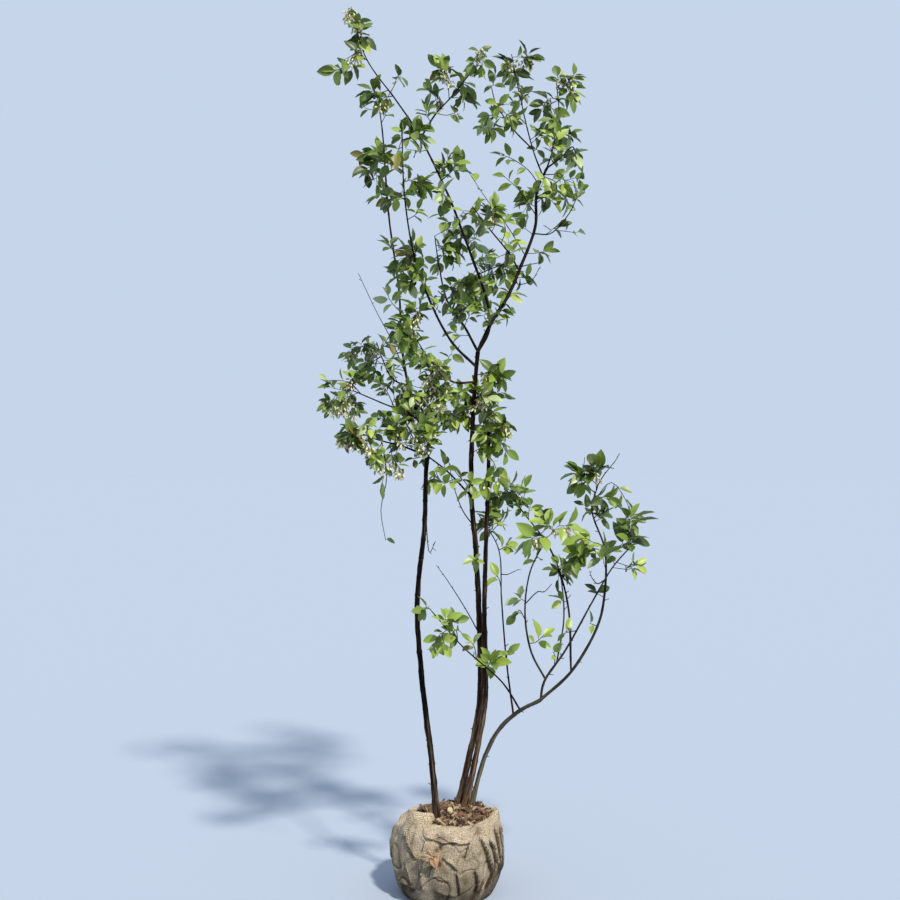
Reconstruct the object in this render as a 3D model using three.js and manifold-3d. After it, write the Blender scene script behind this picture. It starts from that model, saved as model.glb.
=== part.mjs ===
// A young highbush blueberry, sold as a sapling on a burlap-wrapped root ball.
// Millimetres, +Z up, front towards -Y. The origin is the middle of the ball's flat underside.
// Three stems and one low limb rise from the soil, fork into boughs, and carry masses of foliage.

import * as THREE from "three";
import { mergeVertices } from "three/addons/utils/BufferGeometryUtils.js";
import Module from "manifold-3d";

const wasm = await Module();
wasm.setup();

// ---- Driving dimensions ----

const GAP = 0.3; // clearance left between neighbouring pieces
const WELD = 1e-3; // corners nearer than this are one corner

const BALL_RADIUS = 125; // at the widest
const BALL_FOOT_RADIUS = 96; // of the flat underside
const BALL_WAIST_HEIGHT = 84; // where the ball is widest
const BALL_TOP = 166; // of the gathered cloth round the soil
const BALL_TOP_RADIUS = 110; // where the ball's side turns over to its top
const SOIL_TOP = 171; // ground level of the plant
const SOIL_RADIUS = 88;
const SOIL_SHIFT = 14; // how far the opening lies to the right of the ball's middle
const FOLD_DEPTH = 3.5; // how far the gathered burlap's folds stand out
const FOLDS = 9; // gathers round the ball
const FOLD_DRIFT = 2; // how often the gathers crowd together and spread, round the ball
const BALL_SIDES = 45;
const LOWER_STEPS = 5; // faces from the foot up to the widest place
const UPPER_STEPS = 4; // and from there to the top

const FLARE = 0.45; // share by which a stem widens at the soil
const FLARE_HEIGHT = 28; // over which the flare dies away
const RINGS_PER_STRETCH = 2; // rings along a limb between two of its waypoints
const THICK_LIMB = 10; // base diameter above which a limb is a stem, with more sides
const STEM_SIDES = 8;
const BOUGH_SIDES = 6;

const LUMP_HEIGHT = 0.32; // share by which a lump of foliage swells its mass
const LUMP_SHARPNESS = 6; // the higher, the narrower each lump
const HOLLOW = 0.15; // share by which a mass draws in between its lumps
const LUMPS = 6;
const LEAN = 0.3; // the most that a mass leans over, as a share of its reach
const LARGE_MASS = 92; // reach above which a mass gets the finer faces
const SPECK = 0.5; // a point's stand-in, to find the mass that holds it

// ---- Stems and boughs: where each starts, its base and tip diameters, and the places it passes ----

const LIMBS = [
  { name: "stem_left", from: "soil", thick: [14, 8.5], via: [[-20, -40, 150], [-35, -40, 310],
    [-55, -45, 480], [-65, -50, 655], [-50, -60, 810], [-45, -65, 945], [-35, -60, 1035]] },
  { name: "stem_middle", from: "soil", thick: [15, 9.5], via: [[20, 50, 150], [47, 50, 265],
    [75, 50, 415], [74, 50, 600], [65, 40, 770], [55, 35, 895], [60, 30, 1080], [70, 25, 1210]] },
  { name: "stem_right", from: "soil", thick: [14.5, 7], via: [[34, 18, 150], [64, 25, 285],
    [87, 25, 430], [85, 25, 625], [90, 40, 805], [95, 50, 940], [95, 60, 1055]] },
  { name: "low_limb", from: "soil", thick: [10.5, 8.5], via: [[50, 42, 150], [82, 52, 270],
    [115, 35, 345], [160, 15, 395], [210, 0, 425]] },

  { name: "low_bough_outer", from: "low_limb", at: 1, thick: [7.5, 3], via: [[280, -15, 495],
    [335, -15, 590], [355, 0, 670], [360, 40, 760], [335, 70, 845], [350, 85, 905]] },
  { name: "low_bough_inner", from: "low_limb", at: 1, thick: [6, 2.5], via: [[220, -15, 475],
    [265, -30, 545], [320, -60, 655], [360, -80, 730], [400, -95, 780]] },
  { name: "low_bough_left", from: "low_bough_inner", at: 0.2, thick: [5, 2.5],
    via: [[185, -50, 545], [170, -85, 635], [180, -105, 725], [215, -120, 800]] },
  { name: "low_bough_back", from: "low_bough_inner", at: 0.32, thick: [4, 2.5],
    via: [[265, 25, 600], [265, 65, 675], [255, 90, 725]] },
  { name: "long_shoot", from: "low_bough_outer", at: 0.16, thick: [5, 2.5],
    via: [[275, 30, 635], [240, 70, 755], [175, 90, 845], [120, 110, 920]] },
  { name: "crossing_shoot", from: "low_limb", at: 0.78, thick: [4.5, 2],
    via: [[120, -35, 475], [35, -90, 560], [-30, -125, 640]] },
  { name: "upright_shoot", from: "low_limb", at: 0.7, thick: [4.5, 2],
    via: [[135, 30, 510], [125, 50, 645], [120, 80, 755], [75, 100, 835]] },

  { name: "left_bough_front", from: "stem_left", at: 0.88, thick: [5, 2],
    via: [[-95, -95, 995], [-150, -145, 1010], [-210, -185, 1035]] },
  { name: "left_bough_back", from: "stem_left", at: 0.98, thick: [5, 2.5],
    via: [[-80, -40, 1065], [-140, -5, 1090], [-220, 45, 1125]] },
  { name: "tall_bough_left", from: "stem_left", at: 1, thick: [7, 3], via: [[-75, -45, 1095],
    [-100, 0, 1210], [-110, 45, 1355], [-135, 85, 1530], [-150, 120, 1715], [-160, 140, 1795]] },
  { name: "far_left_bough", from: "tall_bough_left", at: 0.22, thick: [4, 2],
    via: [[-125, 20, 1150], [-150, 75, 1200], [-165, 115, 1240]] },

  { name: "centre_bough", from: "stem_middle", at: 1, thick: [8, 2], via: [[95, 20, 1260],
    [90, 10, 1325], [40, -15, 1460], [0, -30, 1560], [-60, -45, 1680], [-110, -50, 1755],
    [-175, -50, 1845], [-205, -40, 1935]] },
  { name: "centre_top_bough", from: "centre_bough", at: 0.62, thick: [4, 2],
    via: [[-25, -40, 1730], [10, -50, 1765], [40, -58, 1800], [70, -60, 1835]] },
  { name: "right_bough", from: "stem_middle", at: 1, thick: [9, 6], via: [[100, 30, 1275],
    [140, 50, 1340], [170, 70, 1410], [205, 95, 1505], [210, 110, 1590], [235, 120, 1650]] },
  { name: "right_bough_tip", from: "right_bough", at: 1, thick: [4, 2],
    via: [[250, 125, 1700], [265, 140, 1780], [260, 150, 1860]] },
  { name: "right_bough_outer", from: "right_bough", at: 1, thick: [4.5, 2],
    via: [[270, 140, 1680], [300, 160, 1710], [310, 170, 1675]] },
  { name: "right_bough_upper", from: "right_bough", at: 0.94, thick: [4, 2],
    via: [[200, 130, 1705], [175, 160, 1825], [155, 185, 1940]] },
  { name: "right_bough_fan", from: "right_bough_upper", at: 0.3, thick: [3.5, 2],
    via: [[155, 85, 1730], [115, 50, 1775], [100, 30, 1815]] },
  { name: "inner_right_bough", from: "right_bough", at: 0.48, thick: [4.5, 2],
    via: [[140, 25, 1435], [90, -45, 1480], [55, -115, 1510]] },

  { name: "front_left_bough", from: "stem_middle", at: 0.96, thick: [6.5, 2.5],
    via: [[10, -10, 1230], [-35, -55, 1310], [-70, -95, 1405], [-90, -130, 1530], [-95, -150, 1670]] },
  { name: "front_bough", from: "stem_middle", at: 0.92, thick: [5.5, 2],
    via: [[10, -25, 1140], [-35, -90, 1180], [-70, -150, 1230]] },
  { name: "back_bough", from: "stem_middle", at: 1, thick: [6, 2.5],
    via: [[40, 50, 1270], [0, 90, 1335], [-20, 150, 1430], [-30, 200, 1505]] },
  { name: "back_right_bough", from: "back_bough", at: 0.42, thick: [4.5, 2],
    via: [[40, 125, 1380], [90, 175, 1415], [150, 225, 1445]] },
];

// ---- Masses of foliage: the middle of each and how far it reaches along X, Y and Z ----

const MASSES = [
  { name: "leaves_very_top", middle: [-200, -45, 1870], reach: [55, 45, 80] },
  { name: "leaves_top_left", middle: [-150, -50, 1775], reach: [60, 55, 50] },
  { name: "leaves_top_centre", middle: [-35, -30, 1815], reach: [55, 45, 70] },
  { name: "leaves_top_middle", middle: [60, -60, 1820], reach: [50, 50, 60] },
  { name: "leaves_top_back", middle: [170, 175, 1910], reach: [50, 50, 80] },
  { name: "leaves_fan", middle: [120, 50, 1740], reach: [55, 45, 90] },
  { name: "leaves_right_tip", middle: [265, 150, 1780], reach: [60, 50, 100] },
  { name: "leaves_right_outer", middle: [280, 85, 1590], reach: [35, 60, 80] },
  { name: "leaves_right_upper", middle: [205, 105, 1575], reach: [55, 50, 65] },
  { name: "leaves_left_high", middle: [-180, 130, 1665], reach: [40, 50, 130] },
  { name: "leaves_front_high", middle: [-80, -145, 1670], reach: [55, 55, 65] },
  { name: "leaves_front_upper", middle: [-80, -135, 1535], reach: [50, 50, 65] },
  { name: "leaves_front_middle", middle: [-90, -100, 1400], reach: [55, 50, 75] },
  { name: "leaves_front", middle: [-75, -150, 1260], reach: [60, 55, 70] },
  { name: "leaves_centre_upper", middle: [-5, -30, 1605], reach: [40, 45, 85] },
  { name: "leaves_centre", middle: [45, -5, 1340], reach: [55, 45, 65] },
  { name: "leaves_inner_right", middle: [80, -105, 1515], reach: [65, 55, 65] },
  { name: "leaves_back_upper", middle: [-5, 195, 1485], reach: [65, 60, 75] },
  { name: "leaves_back_middle", middle: [115, 195, 1405], reach: [70, 60, 70] },
  { name: "leaves_far_left", middle: [-195, 130, 1170], reach: [85, 60, 85] },
  { name: "leaves_left_back", middle: [-240, 45, 1095], reach: [80, 55, 60] },
  { name: "leaves_left_front", middle: [-175, -165, 1010], reach: [75, 50, 55] },
  { name: "leaves_heart_left", middle: [-20, -40, 1130], reach: [75, 50, 85] },
  { name: "leaves_heart_right", middle: [95, 55, 1090], reach: [50, 50, 115] },
  { name: "leaves_low_front", middle: [-15, -120, 600], reach: [45, 40, 55] },
  { name: "leaves_low_middle", middle: [215, -120, 815], reach: [40, 40, 75] },
  { name: "leaves_low_right", middle: [335, 80, 900], reach: [75, 50, 75] },
  { name: "leaves_low_outer", middle: [395, -90, 810], reach: [50, 45, 80] },
  { name: "leaves_low_inner", middle: [315, -20, 750], reach: [65, 45, 50] },
  { name: "leaves_low_back", middle: [255, 90, 700], reach: [45, 40, 60] },
  { name: "leaves_low_rear", middle: [115, 110, 870], reach: [45, 40, 95] },
];

// ---- Materials ----

const finish = (color, roughness) => new THREE.MeshStandardMaterial({ color, roughness, metalness: 0 });
const stemBark = finish(0x7a4f38, 0.8);
const greyBark = finish(0x7d7a66, 0.75);
const youngBark = finish(0x5f5238, 0.6);
const burlap = finish(0xb8a27a, 0.95);
const soil = finish(0x5a4634, 1);
const leaves = finish(0x6f9a35, 0.6);

// ---- Solids ----

function toSolid(geometry) {
  const bare = geometry.index ? geometry.toNonIndexed() : geometry.clone();
  bare.deleteAttribute("normal");
  bare.deleteAttribute("uv");
  const merged = mergeVertices(bare, WELD);
  return new wasm.Manifold(new wasm.Mesh({
    numProp: 3,
    vertProperties: new Float32Array(merged.attributes.position.array),
    triVerts: new Uint32Array(merged.index.array),
  }));
}

function toGeometry(solid) {
  const mesh = solid.getMesh();
  const geometry = new THREE.BufferGeometry();
  geometry.setAttribute("position", new THREE.BufferAttribute(mesh.vertProperties, 3));
  geometry.setIndex(new THREE.BufferAttribute(mesh.triVerts, 1));
  geometry.computeVertexNormals();
  return geometry;
}

function boxOf(solid) {
  const box = solid.boundingBox();
  return new THREE.Box3(new THREE.Vector3(...box.min), new THREE.Vector3(...box.max));
}

// Takes the cutters away from a solid and keeps the largest body that is left.
function clearOf(solid, cutters) {
  let left = solid;
  for (const cutter of cutters) {
    if (boxOf(left).intersectsBox(boxOf(cutter))) {
      left = left.subtract(cutter);
    }
  }
  const bodies = left.decompose();
  bodies.sort((a, b) => b.volume() - a.volume());
  return bodies[0];
}

// A small repeatable random source, so that each mass keeps its own shape.
function randomSource(seed) {
  const range = 2 ** 32;
  const multiplier = 1664525;
  const step = 1013904223;
  let state = seed;
  return () => {
    state = (state * multiplier + step) % range;
    return state / range;
  };
}

// ---- Limbs ----

const courses = new Map(); // each limb's centre line, by name

function courseOf({ name, from, at, via }) {
  const places = via.map((place) => new THREE.Vector3(...place));
  if (from !== "soil") {
    places.unshift(courses.get(from).getPoint(at));
  }
  const course = new THREE.CatmullRomCurve3(places, false, "catmullrom");
  courses.set(name, course);
  return course;
}

// One tapering limb. A stem's foot swells towards the soil; grown adds to the radius all round.
function limbSolid({ from, thick }, course, grown = 0) {
  const [baseRadius, tipRadius] = thick.map((diameter) => diameter / 2);
  const steps = (course.points.length - 1) * RINGS_PER_STRETCH;
  const sides = baseRadius * 2 > THICK_LIMB ? STEM_SIDES : BOUGH_SIDES;
  const frames = course.computeFrenetFrames(steps);
  const rings = Array.from({ length: steps + 1 }, (_, step) => course.getPointAt(step / steps));
  const geometry = new THREE.CylinderGeometry(1, 1, 1, sides, steps);
  const places = geometry.attributes.position;
  for (let i = 0; i < places.count; i += 1) {
    const step = Math.round((places.getY(i) + 0.5) * steps);
    const centre = rings[step];
    let radius = tipRadius + (baseRadius - tipRadius) * (1 - step / steps);
    if (from === "soil") {
      radius *= 1 + FLARE * Math.exp(-Math.max(centre.z - SOIL_TOP, 0) / FLARE_HEIGHT);
    }
    const place = centre.clone()
      .addScaledVector(frames.normals[step], places.getX(i) * (radius + grown))
      .addScaledVector(frames.binormals[step], -places.getZ(i) * (radius + grown));
    places.setXYZ(i, place.x, place.y, place.z);
  }
  const solid = toSolid(geometry);
  return from === "soil" ? solid.trimByPlane([0, 0, 1], SOIL_TOP + GAP) : solid;
}

// ---- Foliage ----

// One uneven mass: a round of flat faces stretched to its reach, leaning over, with lumps on it.
function massSolid({ middle, reach }, seed) {
  const random = randomSource(seed);
  const leanX = (random() * 2 - 1) * LEAN;
  const leanY = (random() * 2 - 1) * LEAN;
  const lumps = Array.from({ length: LUMPS }, () => {
    const height = random() * 2 - 1;
    const turn = random() * Math.PI * 2;
    const flat = Math.sqrt(1 - height * height);
    return new THREE.Vector3(Math.cos(turn) * flat, Math.sin(turn) * flat, height);
  });
  const geometry = new THREE.IcosahedronGeometry(1, Math.max(...reach) > LARGE_MASS ? 2 : 1);
  const places = geometry.attributes.position;
  const way = new THREE.Vector3();
  for (let i = 0; i < places.count; i += 1) {
    way.fromBufferAttribute(places, i).normalize();
    let swell = 1 - HOLLOW;
    for (const lump of lumps) {
      swell += LUMP_HEIGHT * Math.max(way.dot(lump), 0) ** LUMP_SHARPNESS;
    }
    places.setXYZ(
      i,
      middle[0] + (way.x + leanX * way.z) * swell * reach[0],
      middle[1] + (way.y + leanY * way.z) * swell * reach[1],
      middle[2] + way.z * swell * reach[2],
    );
  }
  return toSolid(geometry);
}

// The mass a little larger all round, to cut its neighbours with, so that a gap is left.
function grownAbout(solid, { middle, reach }) {
  const share = 1 + GAP / (Math.min(...reach) * (1 - HOLLOW));
  return solid.translate(middle.map((place) => -place)).scale(share).translate(middle);
}

function holds(solid, point) {
  const speck = new THREE.IcosahedronGeometry(SPECK, 0).translate(point.x, point.y, point.z);
  return toSolid(speck).intersect(solid).volume() > 0;
}

// ---- Root ball ----

// The wrapped ball: a squat round with a flat foot, a flat top and the cloth's gathers down its side.
function rootBall() {
  const profile = [[0, 0], [BALL_FOOT_RADIUS, 0]];
  for (let step = 1; step <= LOWER_STEPS; step += 1) {
    const turn = (step / LOWER_STEPS) * (Math.PI / 2);
    profile.push([
      BALL_FOOT_RADIUS + (BALL_RADIUS - BALL_FOOT_RADIUS) * Math.sin(turn),
      BALL_WAIST_HEIGHT * (1 - Math.cos(turn)),
    ]);
  }
  for (let step = 1; step <= UPPER_STEPS; step += 1) {
    const turn = (step / UPPER_STEPS) * (Math.PI / 2);
    profile.push([
      BALL_TOP_RADIUS + (BALL_RADIUS - BALL_TOP_RADIUS) * Math.cos(turn),
      BALL_WAIST_HEIGHT + (BALL_TOP - BALL_WAIST_HEIGHT) * Math.sin(turn),
    ]);
  }
  profile.push([0, BALL_TOP]);

  const points = profile.map(([radius, height]) => new THREE.Vector2(radius, height));
  const geometry = new THREE.LatheGeometry(points, BALL_SIDES);
  geometry.rotateX(Math.PI / 2);
  const places = geometry.attributes.position;
  for (let i = 0; i < places.count; i += 1) {
    const x = places.getX(i);
    const y = places.getY(i);
    const z = places.getZ(i);
    const radius = Math.hypot(x, y);
    const isFlat = z === 0 || z > BALL_TOP - GAP;
    if (!isFlat) {
      const turn = Math.atan2(y, x);
      const fold = FOLD_DEPTH * (Math.cos(turn * FOLDS + Math.sin(turn * FOLD_DRIFT)) - 1) / 2;
      const share = 1 + (fold * z) / BALL_TOP / radius;
      places.setXYZ(i, x * share, y * share, z);
    }
  }
  return toSolid(geometry);
}

// The mulched soil on the ball's top; its own level top is the plant's ground level.
function soilCap() {
  const height = SOIL_TOP - BALL_TOP - GAP;
  const geometry = new THREE.CylinderGeometry(SOIL_RADIUS, SOIL_RADIUS, height, BALL_SIDES);
  geometry.rotateX(Math.PI / 2);
  geometry.translate(SOIL_SHIFT, 0, SOIL_TOP - height / 2);
  return toSolid(geometry);
}

// ---- Assembly ----

const plant = new THREE.Group();

function addPiece(name, solid, material) {
  const mesh = new THREE.Mesh(toGeometry(solid), material);
  mesh.name = name;
  plant.add(mesh);
}

const masses = [];
MASSES.forEach((mass, index) => {
  const solid = clearOf(massSolid(mass, index + 1), masses.map((other) => other.grown));
  masses.push({ ...mass, solid, grown: grownAbout(solid, mass) });
});

// A bough ends where it enters the mass round its tip; elsewhere the masses are cut round it.
const limbs = [];
for (const limb of LIMBS) {
  const course = courseOf(limb);
  const tip = course.getPoint(1);
  const isStem = limb.from === "soil";
  const home = isStem ? undefined : masses.find((mass) => holds(mass.solid, tip));
  const cutters = limbs.map((other) => other.grown);
  if (home) {
    cutters.push(home.grown);
  }
  const solid = clearOf(limbSolid(limb, course), cutters);
  limbs.push({ ...limb, home, solid, grown: limbSolid(limb, course, GAP) });
}

const barks = { stem_left: stemBark, stem_middle: stemBark, stem_right: stemBark, low_limb: greyBark };

addPiece("root_ball", rootBall(), burlap);
addPiece("soil_cap", soilCap(), soil);
for (const { name, solid } of limbs) {
  const isLow = name.startsWith("low_bough");
  addPiece(name, solid, barks[name] ?? (isLow ? greyBark : youngBark));
}
for (const mass of masses) {
  const passing = limbs.filter((limb) => limb.home?.name !== mass.name);
  addPiece(mass.name, clearOf(mass.solid, passing.map((limb) => limb.grown)), leaves);
}

export default plant;
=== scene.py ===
"""A young highbush blueberry in spring leaf and blossom, on its burlap-wrapped root ball.

Metres, +Z up, front towards -Y. The limbs' courses are those of the frame, in millimetres.
"""

import math
import random

import bmesh
import bpy
from mathutils import Matrix, Vector, noise


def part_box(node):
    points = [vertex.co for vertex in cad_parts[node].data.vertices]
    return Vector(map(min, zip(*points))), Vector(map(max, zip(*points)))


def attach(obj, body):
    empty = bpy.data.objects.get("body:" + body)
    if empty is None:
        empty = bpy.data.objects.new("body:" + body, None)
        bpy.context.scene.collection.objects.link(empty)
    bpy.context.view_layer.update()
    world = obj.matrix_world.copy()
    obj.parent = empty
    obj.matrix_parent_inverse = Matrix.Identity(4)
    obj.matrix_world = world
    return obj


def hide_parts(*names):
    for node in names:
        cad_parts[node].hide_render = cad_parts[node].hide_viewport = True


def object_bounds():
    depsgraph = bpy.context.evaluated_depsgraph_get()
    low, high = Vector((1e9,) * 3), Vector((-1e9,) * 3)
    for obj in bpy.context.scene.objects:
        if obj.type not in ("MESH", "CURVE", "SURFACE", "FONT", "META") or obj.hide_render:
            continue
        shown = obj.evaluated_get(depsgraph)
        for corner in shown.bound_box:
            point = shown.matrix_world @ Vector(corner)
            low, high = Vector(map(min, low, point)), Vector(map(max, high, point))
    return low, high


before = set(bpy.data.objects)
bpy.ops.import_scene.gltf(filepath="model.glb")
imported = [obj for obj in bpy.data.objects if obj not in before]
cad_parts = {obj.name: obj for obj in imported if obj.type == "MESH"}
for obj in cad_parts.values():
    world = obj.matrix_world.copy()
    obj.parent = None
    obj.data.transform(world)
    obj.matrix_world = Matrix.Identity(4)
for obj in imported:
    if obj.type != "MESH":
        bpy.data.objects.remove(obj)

CAD_LOW, CAD_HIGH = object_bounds()

MM = 0.001
TURN = 2 * math.pi
UP = Vector((0, 0, 1))
GOLDEN_TURN = math.radians(137.5)  # from one leaf to the next round a shoot

# ---- Limbs: parent, share along it, base and tip diameters, then the places passed, in mm ----

LIMBS = {
    "stem_left": (None, 0, 14, 8.5, [(-20, -40, 150), (-35, -40, 310), (-55, -45, 480),
        (-65, -50, 655), (-50, -60, 810), (-45, -65, 945), (-35, -60, 1035)]),
    "stem_middle": (None, 0, 15, 9.5, [(20, 50, 150), (47, 50, 265), (75, 50, 415), (74, 50, 600),
        (65, 40, 770), (55, 35, 895), (60, 30, 1080), (70, 25, 1210)]),
    "stem_right": (None, 0, 14.5, 7, [(34, 18, 150), (64, 25, 285), (87, 25, 430), (85, 25, 625),
        (90, 40, 805), (95, 50, 940), (95, 60, 1055)]),
    "low_limb": (None, 0, 10.5, 8.5, [(50, 42, 150), (82, 52, 270), (115, 35, 345), (160, 15, 395),
        (210, 0, 425)]),
    "low_bough_outer": ("low_limb", 1, 7.5, 3, [(280, -15, 495), (335, -15, 590), (355, 0, 670),
        (360, 40, 760), (335, 70, 845), (350, 85, 905)]),
    "low_bough_inner": ("low_limb", 1, 6, 2.5, [(220, -15, 475), (265, -30, 545), (320, -60, 655),
        (360, -80, 730), (400, -95, 780)]),
    "low_bough_left": ("low_bough_inner", 0.2, 5, 2.5, [(185, -50, 545), (170, -85, 635),
        (180, -105, 725), (215, -120, 800)]),
    "low_bough_back": ("low_bough_inner", 0.32, 4, 2.5, [(265, 25, 600), (265, 65, 675),
        (255, 90, 725)]),
    "long_shoot": ("low_bough_outer", 0.16, 5, 2.5, [(275, 30, 635), (240, 70, 755), (175, 90, 845),
        (120, 110, 920)]),
    "crossing_shoot": ("low_limb", 0.78, 4.5, 2, [(120, -35, 475), (35, -90, 560), (-30, -125, 640)]),
    "upright_shoot": ("low_limb", 0.7, 4.5, 2, [(135, 30, 510), (125, 50, 645), (120, 80, 755),
        (75, 100, 835)]),
    "left_bough_front": ("stem_left", 0.88, 5, 2, [(-95, -95, 995), (-150, -145, 1010),
        (-210, -185, 1035)]),
    "left_bough_back": ("stem_left", 0.98, 5, 2.5, [(-80, -40, 1065), (-140, -5, 1090),
        (-220, 45, 1125)]),
    "cross_bough": ("stem_middle", 0.7, 4.5, 2.5, [(5, 15, 935), (-45, -5, 975), (-105, -15, 1025)]),
    "tall_bough_left": ("stem_left", 1, 7, 3, [(-75, -45, 1095), (-100, 0, 1210), (-110, 45, 1355),
        (-135, 85, 1530), (-150, 120, 1715), (-160, 140, 1795)]),
    "far_left_bough": ("tall_bough_left", 0.22, 4, 2, [(-125, 20, 1150), (-150, 75, 1200),
        (-165, 115, 1240)]),
    "centre_bough": ("stem_middle", 1, 8, 2, [(95, 20, 1260), (90, 10, 1325), (40, -15, 1460),
        (0, -30, 1560), (-60, -45, 1680), (-110, -50, 1755), (-175, -50, 1845), (-205, -40, 1935)]),
    "centre_top_bough": ("centre_bough", 0.62, 4, 2, [(-25, -40, 1730), (10, -50, 1765),
        (40, -58, 1800), (70, -60, 1835)]),
    "right_bough": ("stem_middle", 1, 9, 6, [(100, 30, 1275), (140, 50, 1340), (170, 70, 1410),
        (205, 95, 1505), (210, 110, 1590), (235, 120, 1650)]),
    "right_bough_tip": ("right_bough", 1, 4, 2, [(250, 125, 1700), (265, 140, 1780),
        (260, 150, 1860)]),
    "right_bough_outer": ("right_bough", 1, 4.5, 2, [(270, 140, 1680), (300, 160, 1710),
        (310, 170, 1675)]),
    "right_bough_upper": ("right_bough", 0.94, 4, 2, [(200, 130, 1705), (175, 160, 1825),
        (155, 185, 1940)]),
    "right_bough_fan": ("right_bough_upper", 0.3, 3.5, 2, [(155, 85, 1730), (115, 50, 1775),
        (100, 30, 1815)]),
    "right_bough_low": ("right_bough", 0.64, 3.2, 2, [(240, 55, 1485), (275, 20, 1520),
        (290, 0, 1550)]),
    "inner_right_bough": ("right_bough", 0.48, 4.5, 2, [(140, 25, 1435), (90, -45, 1480),
        (55, -115, 1510)]),
    "front_left_bough": ("stem_middle", 0.96, 6.5, 2.5, [(10, -10, 1230), (-35, -55, 1310),
        (-70, -95, 1405), (-90, -130, 1530), (-95, -150, 1670)]),
    "front_bough": ("stem_middle", 0.92, 5.5, 2, [(10, -25, 1140), (-35, -90, 1180),
        (-70, -150, 1230)]),
    "back_bough": ("stem_middle", 1, 6, 2.5, [(40, 50, 1270), (0, 90, 1335), (-20, 150, 1430),
        (-30, 200, 1505)]),
    "back_right_bough": ("back_bough", 0.42, 4.5, 2, [(40, 125, 1380), (90, 175, 1415),
        (150, 225, 1445)]),
}

# Bare twigs: the limb each leaves, the share along it, and the places passed, in mm.
BARE_TWIGS = [
    ("tall_bough_left", 0.26, [(-105, 100, 1185), (-130, 130, 1245), (-170, 165, 1320), (-215, 200, 1415)]),
    ("stem_middle", 0.40, [(45, 85, 615), (5, 115, 675), (-25, 130, 715)]),
    ("stem_middle", 0.66, [(50, 55, 900), (25, 70, 930), (-5, 85, 970)]),
    ("stem_middle", 0.62, [(35, 60, 850), (15, 75, 905), (5, 85, 955)]),
    ("stem_left", 0.74, [(-40, -50, 765), (-25, -40, 785)]),
    ("right_bough", 0.44, [(165, 75, 1370), (195, 70, 1378), (215, 65, 1410)]),
    ("right_bough", 0.50, [(190, 90, 1418), (215, 100, 1425), (222, 105, 1440)]),
    ("upright_shoot", 0.62, [(140, 70, 700), (165, 65, 712)]),
    ("low_bough_inner", 0.72, [(335, -30, 690), (325, -15, 700), (320, -5, 715)]),
    ("low_bough_left", 0.55, [(195, -100, 680), (210, -110, 682), (225, -120, 700)]),
    ("low_bough_outer", 0.95, [(330, 80, 900), (318, 85, 935), (320, 90, 970)]),
    ("low_bough_outer", 1.0, [(365, 85, 930), (390, 90, 960), (402, 95, 978)]),
]

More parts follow.
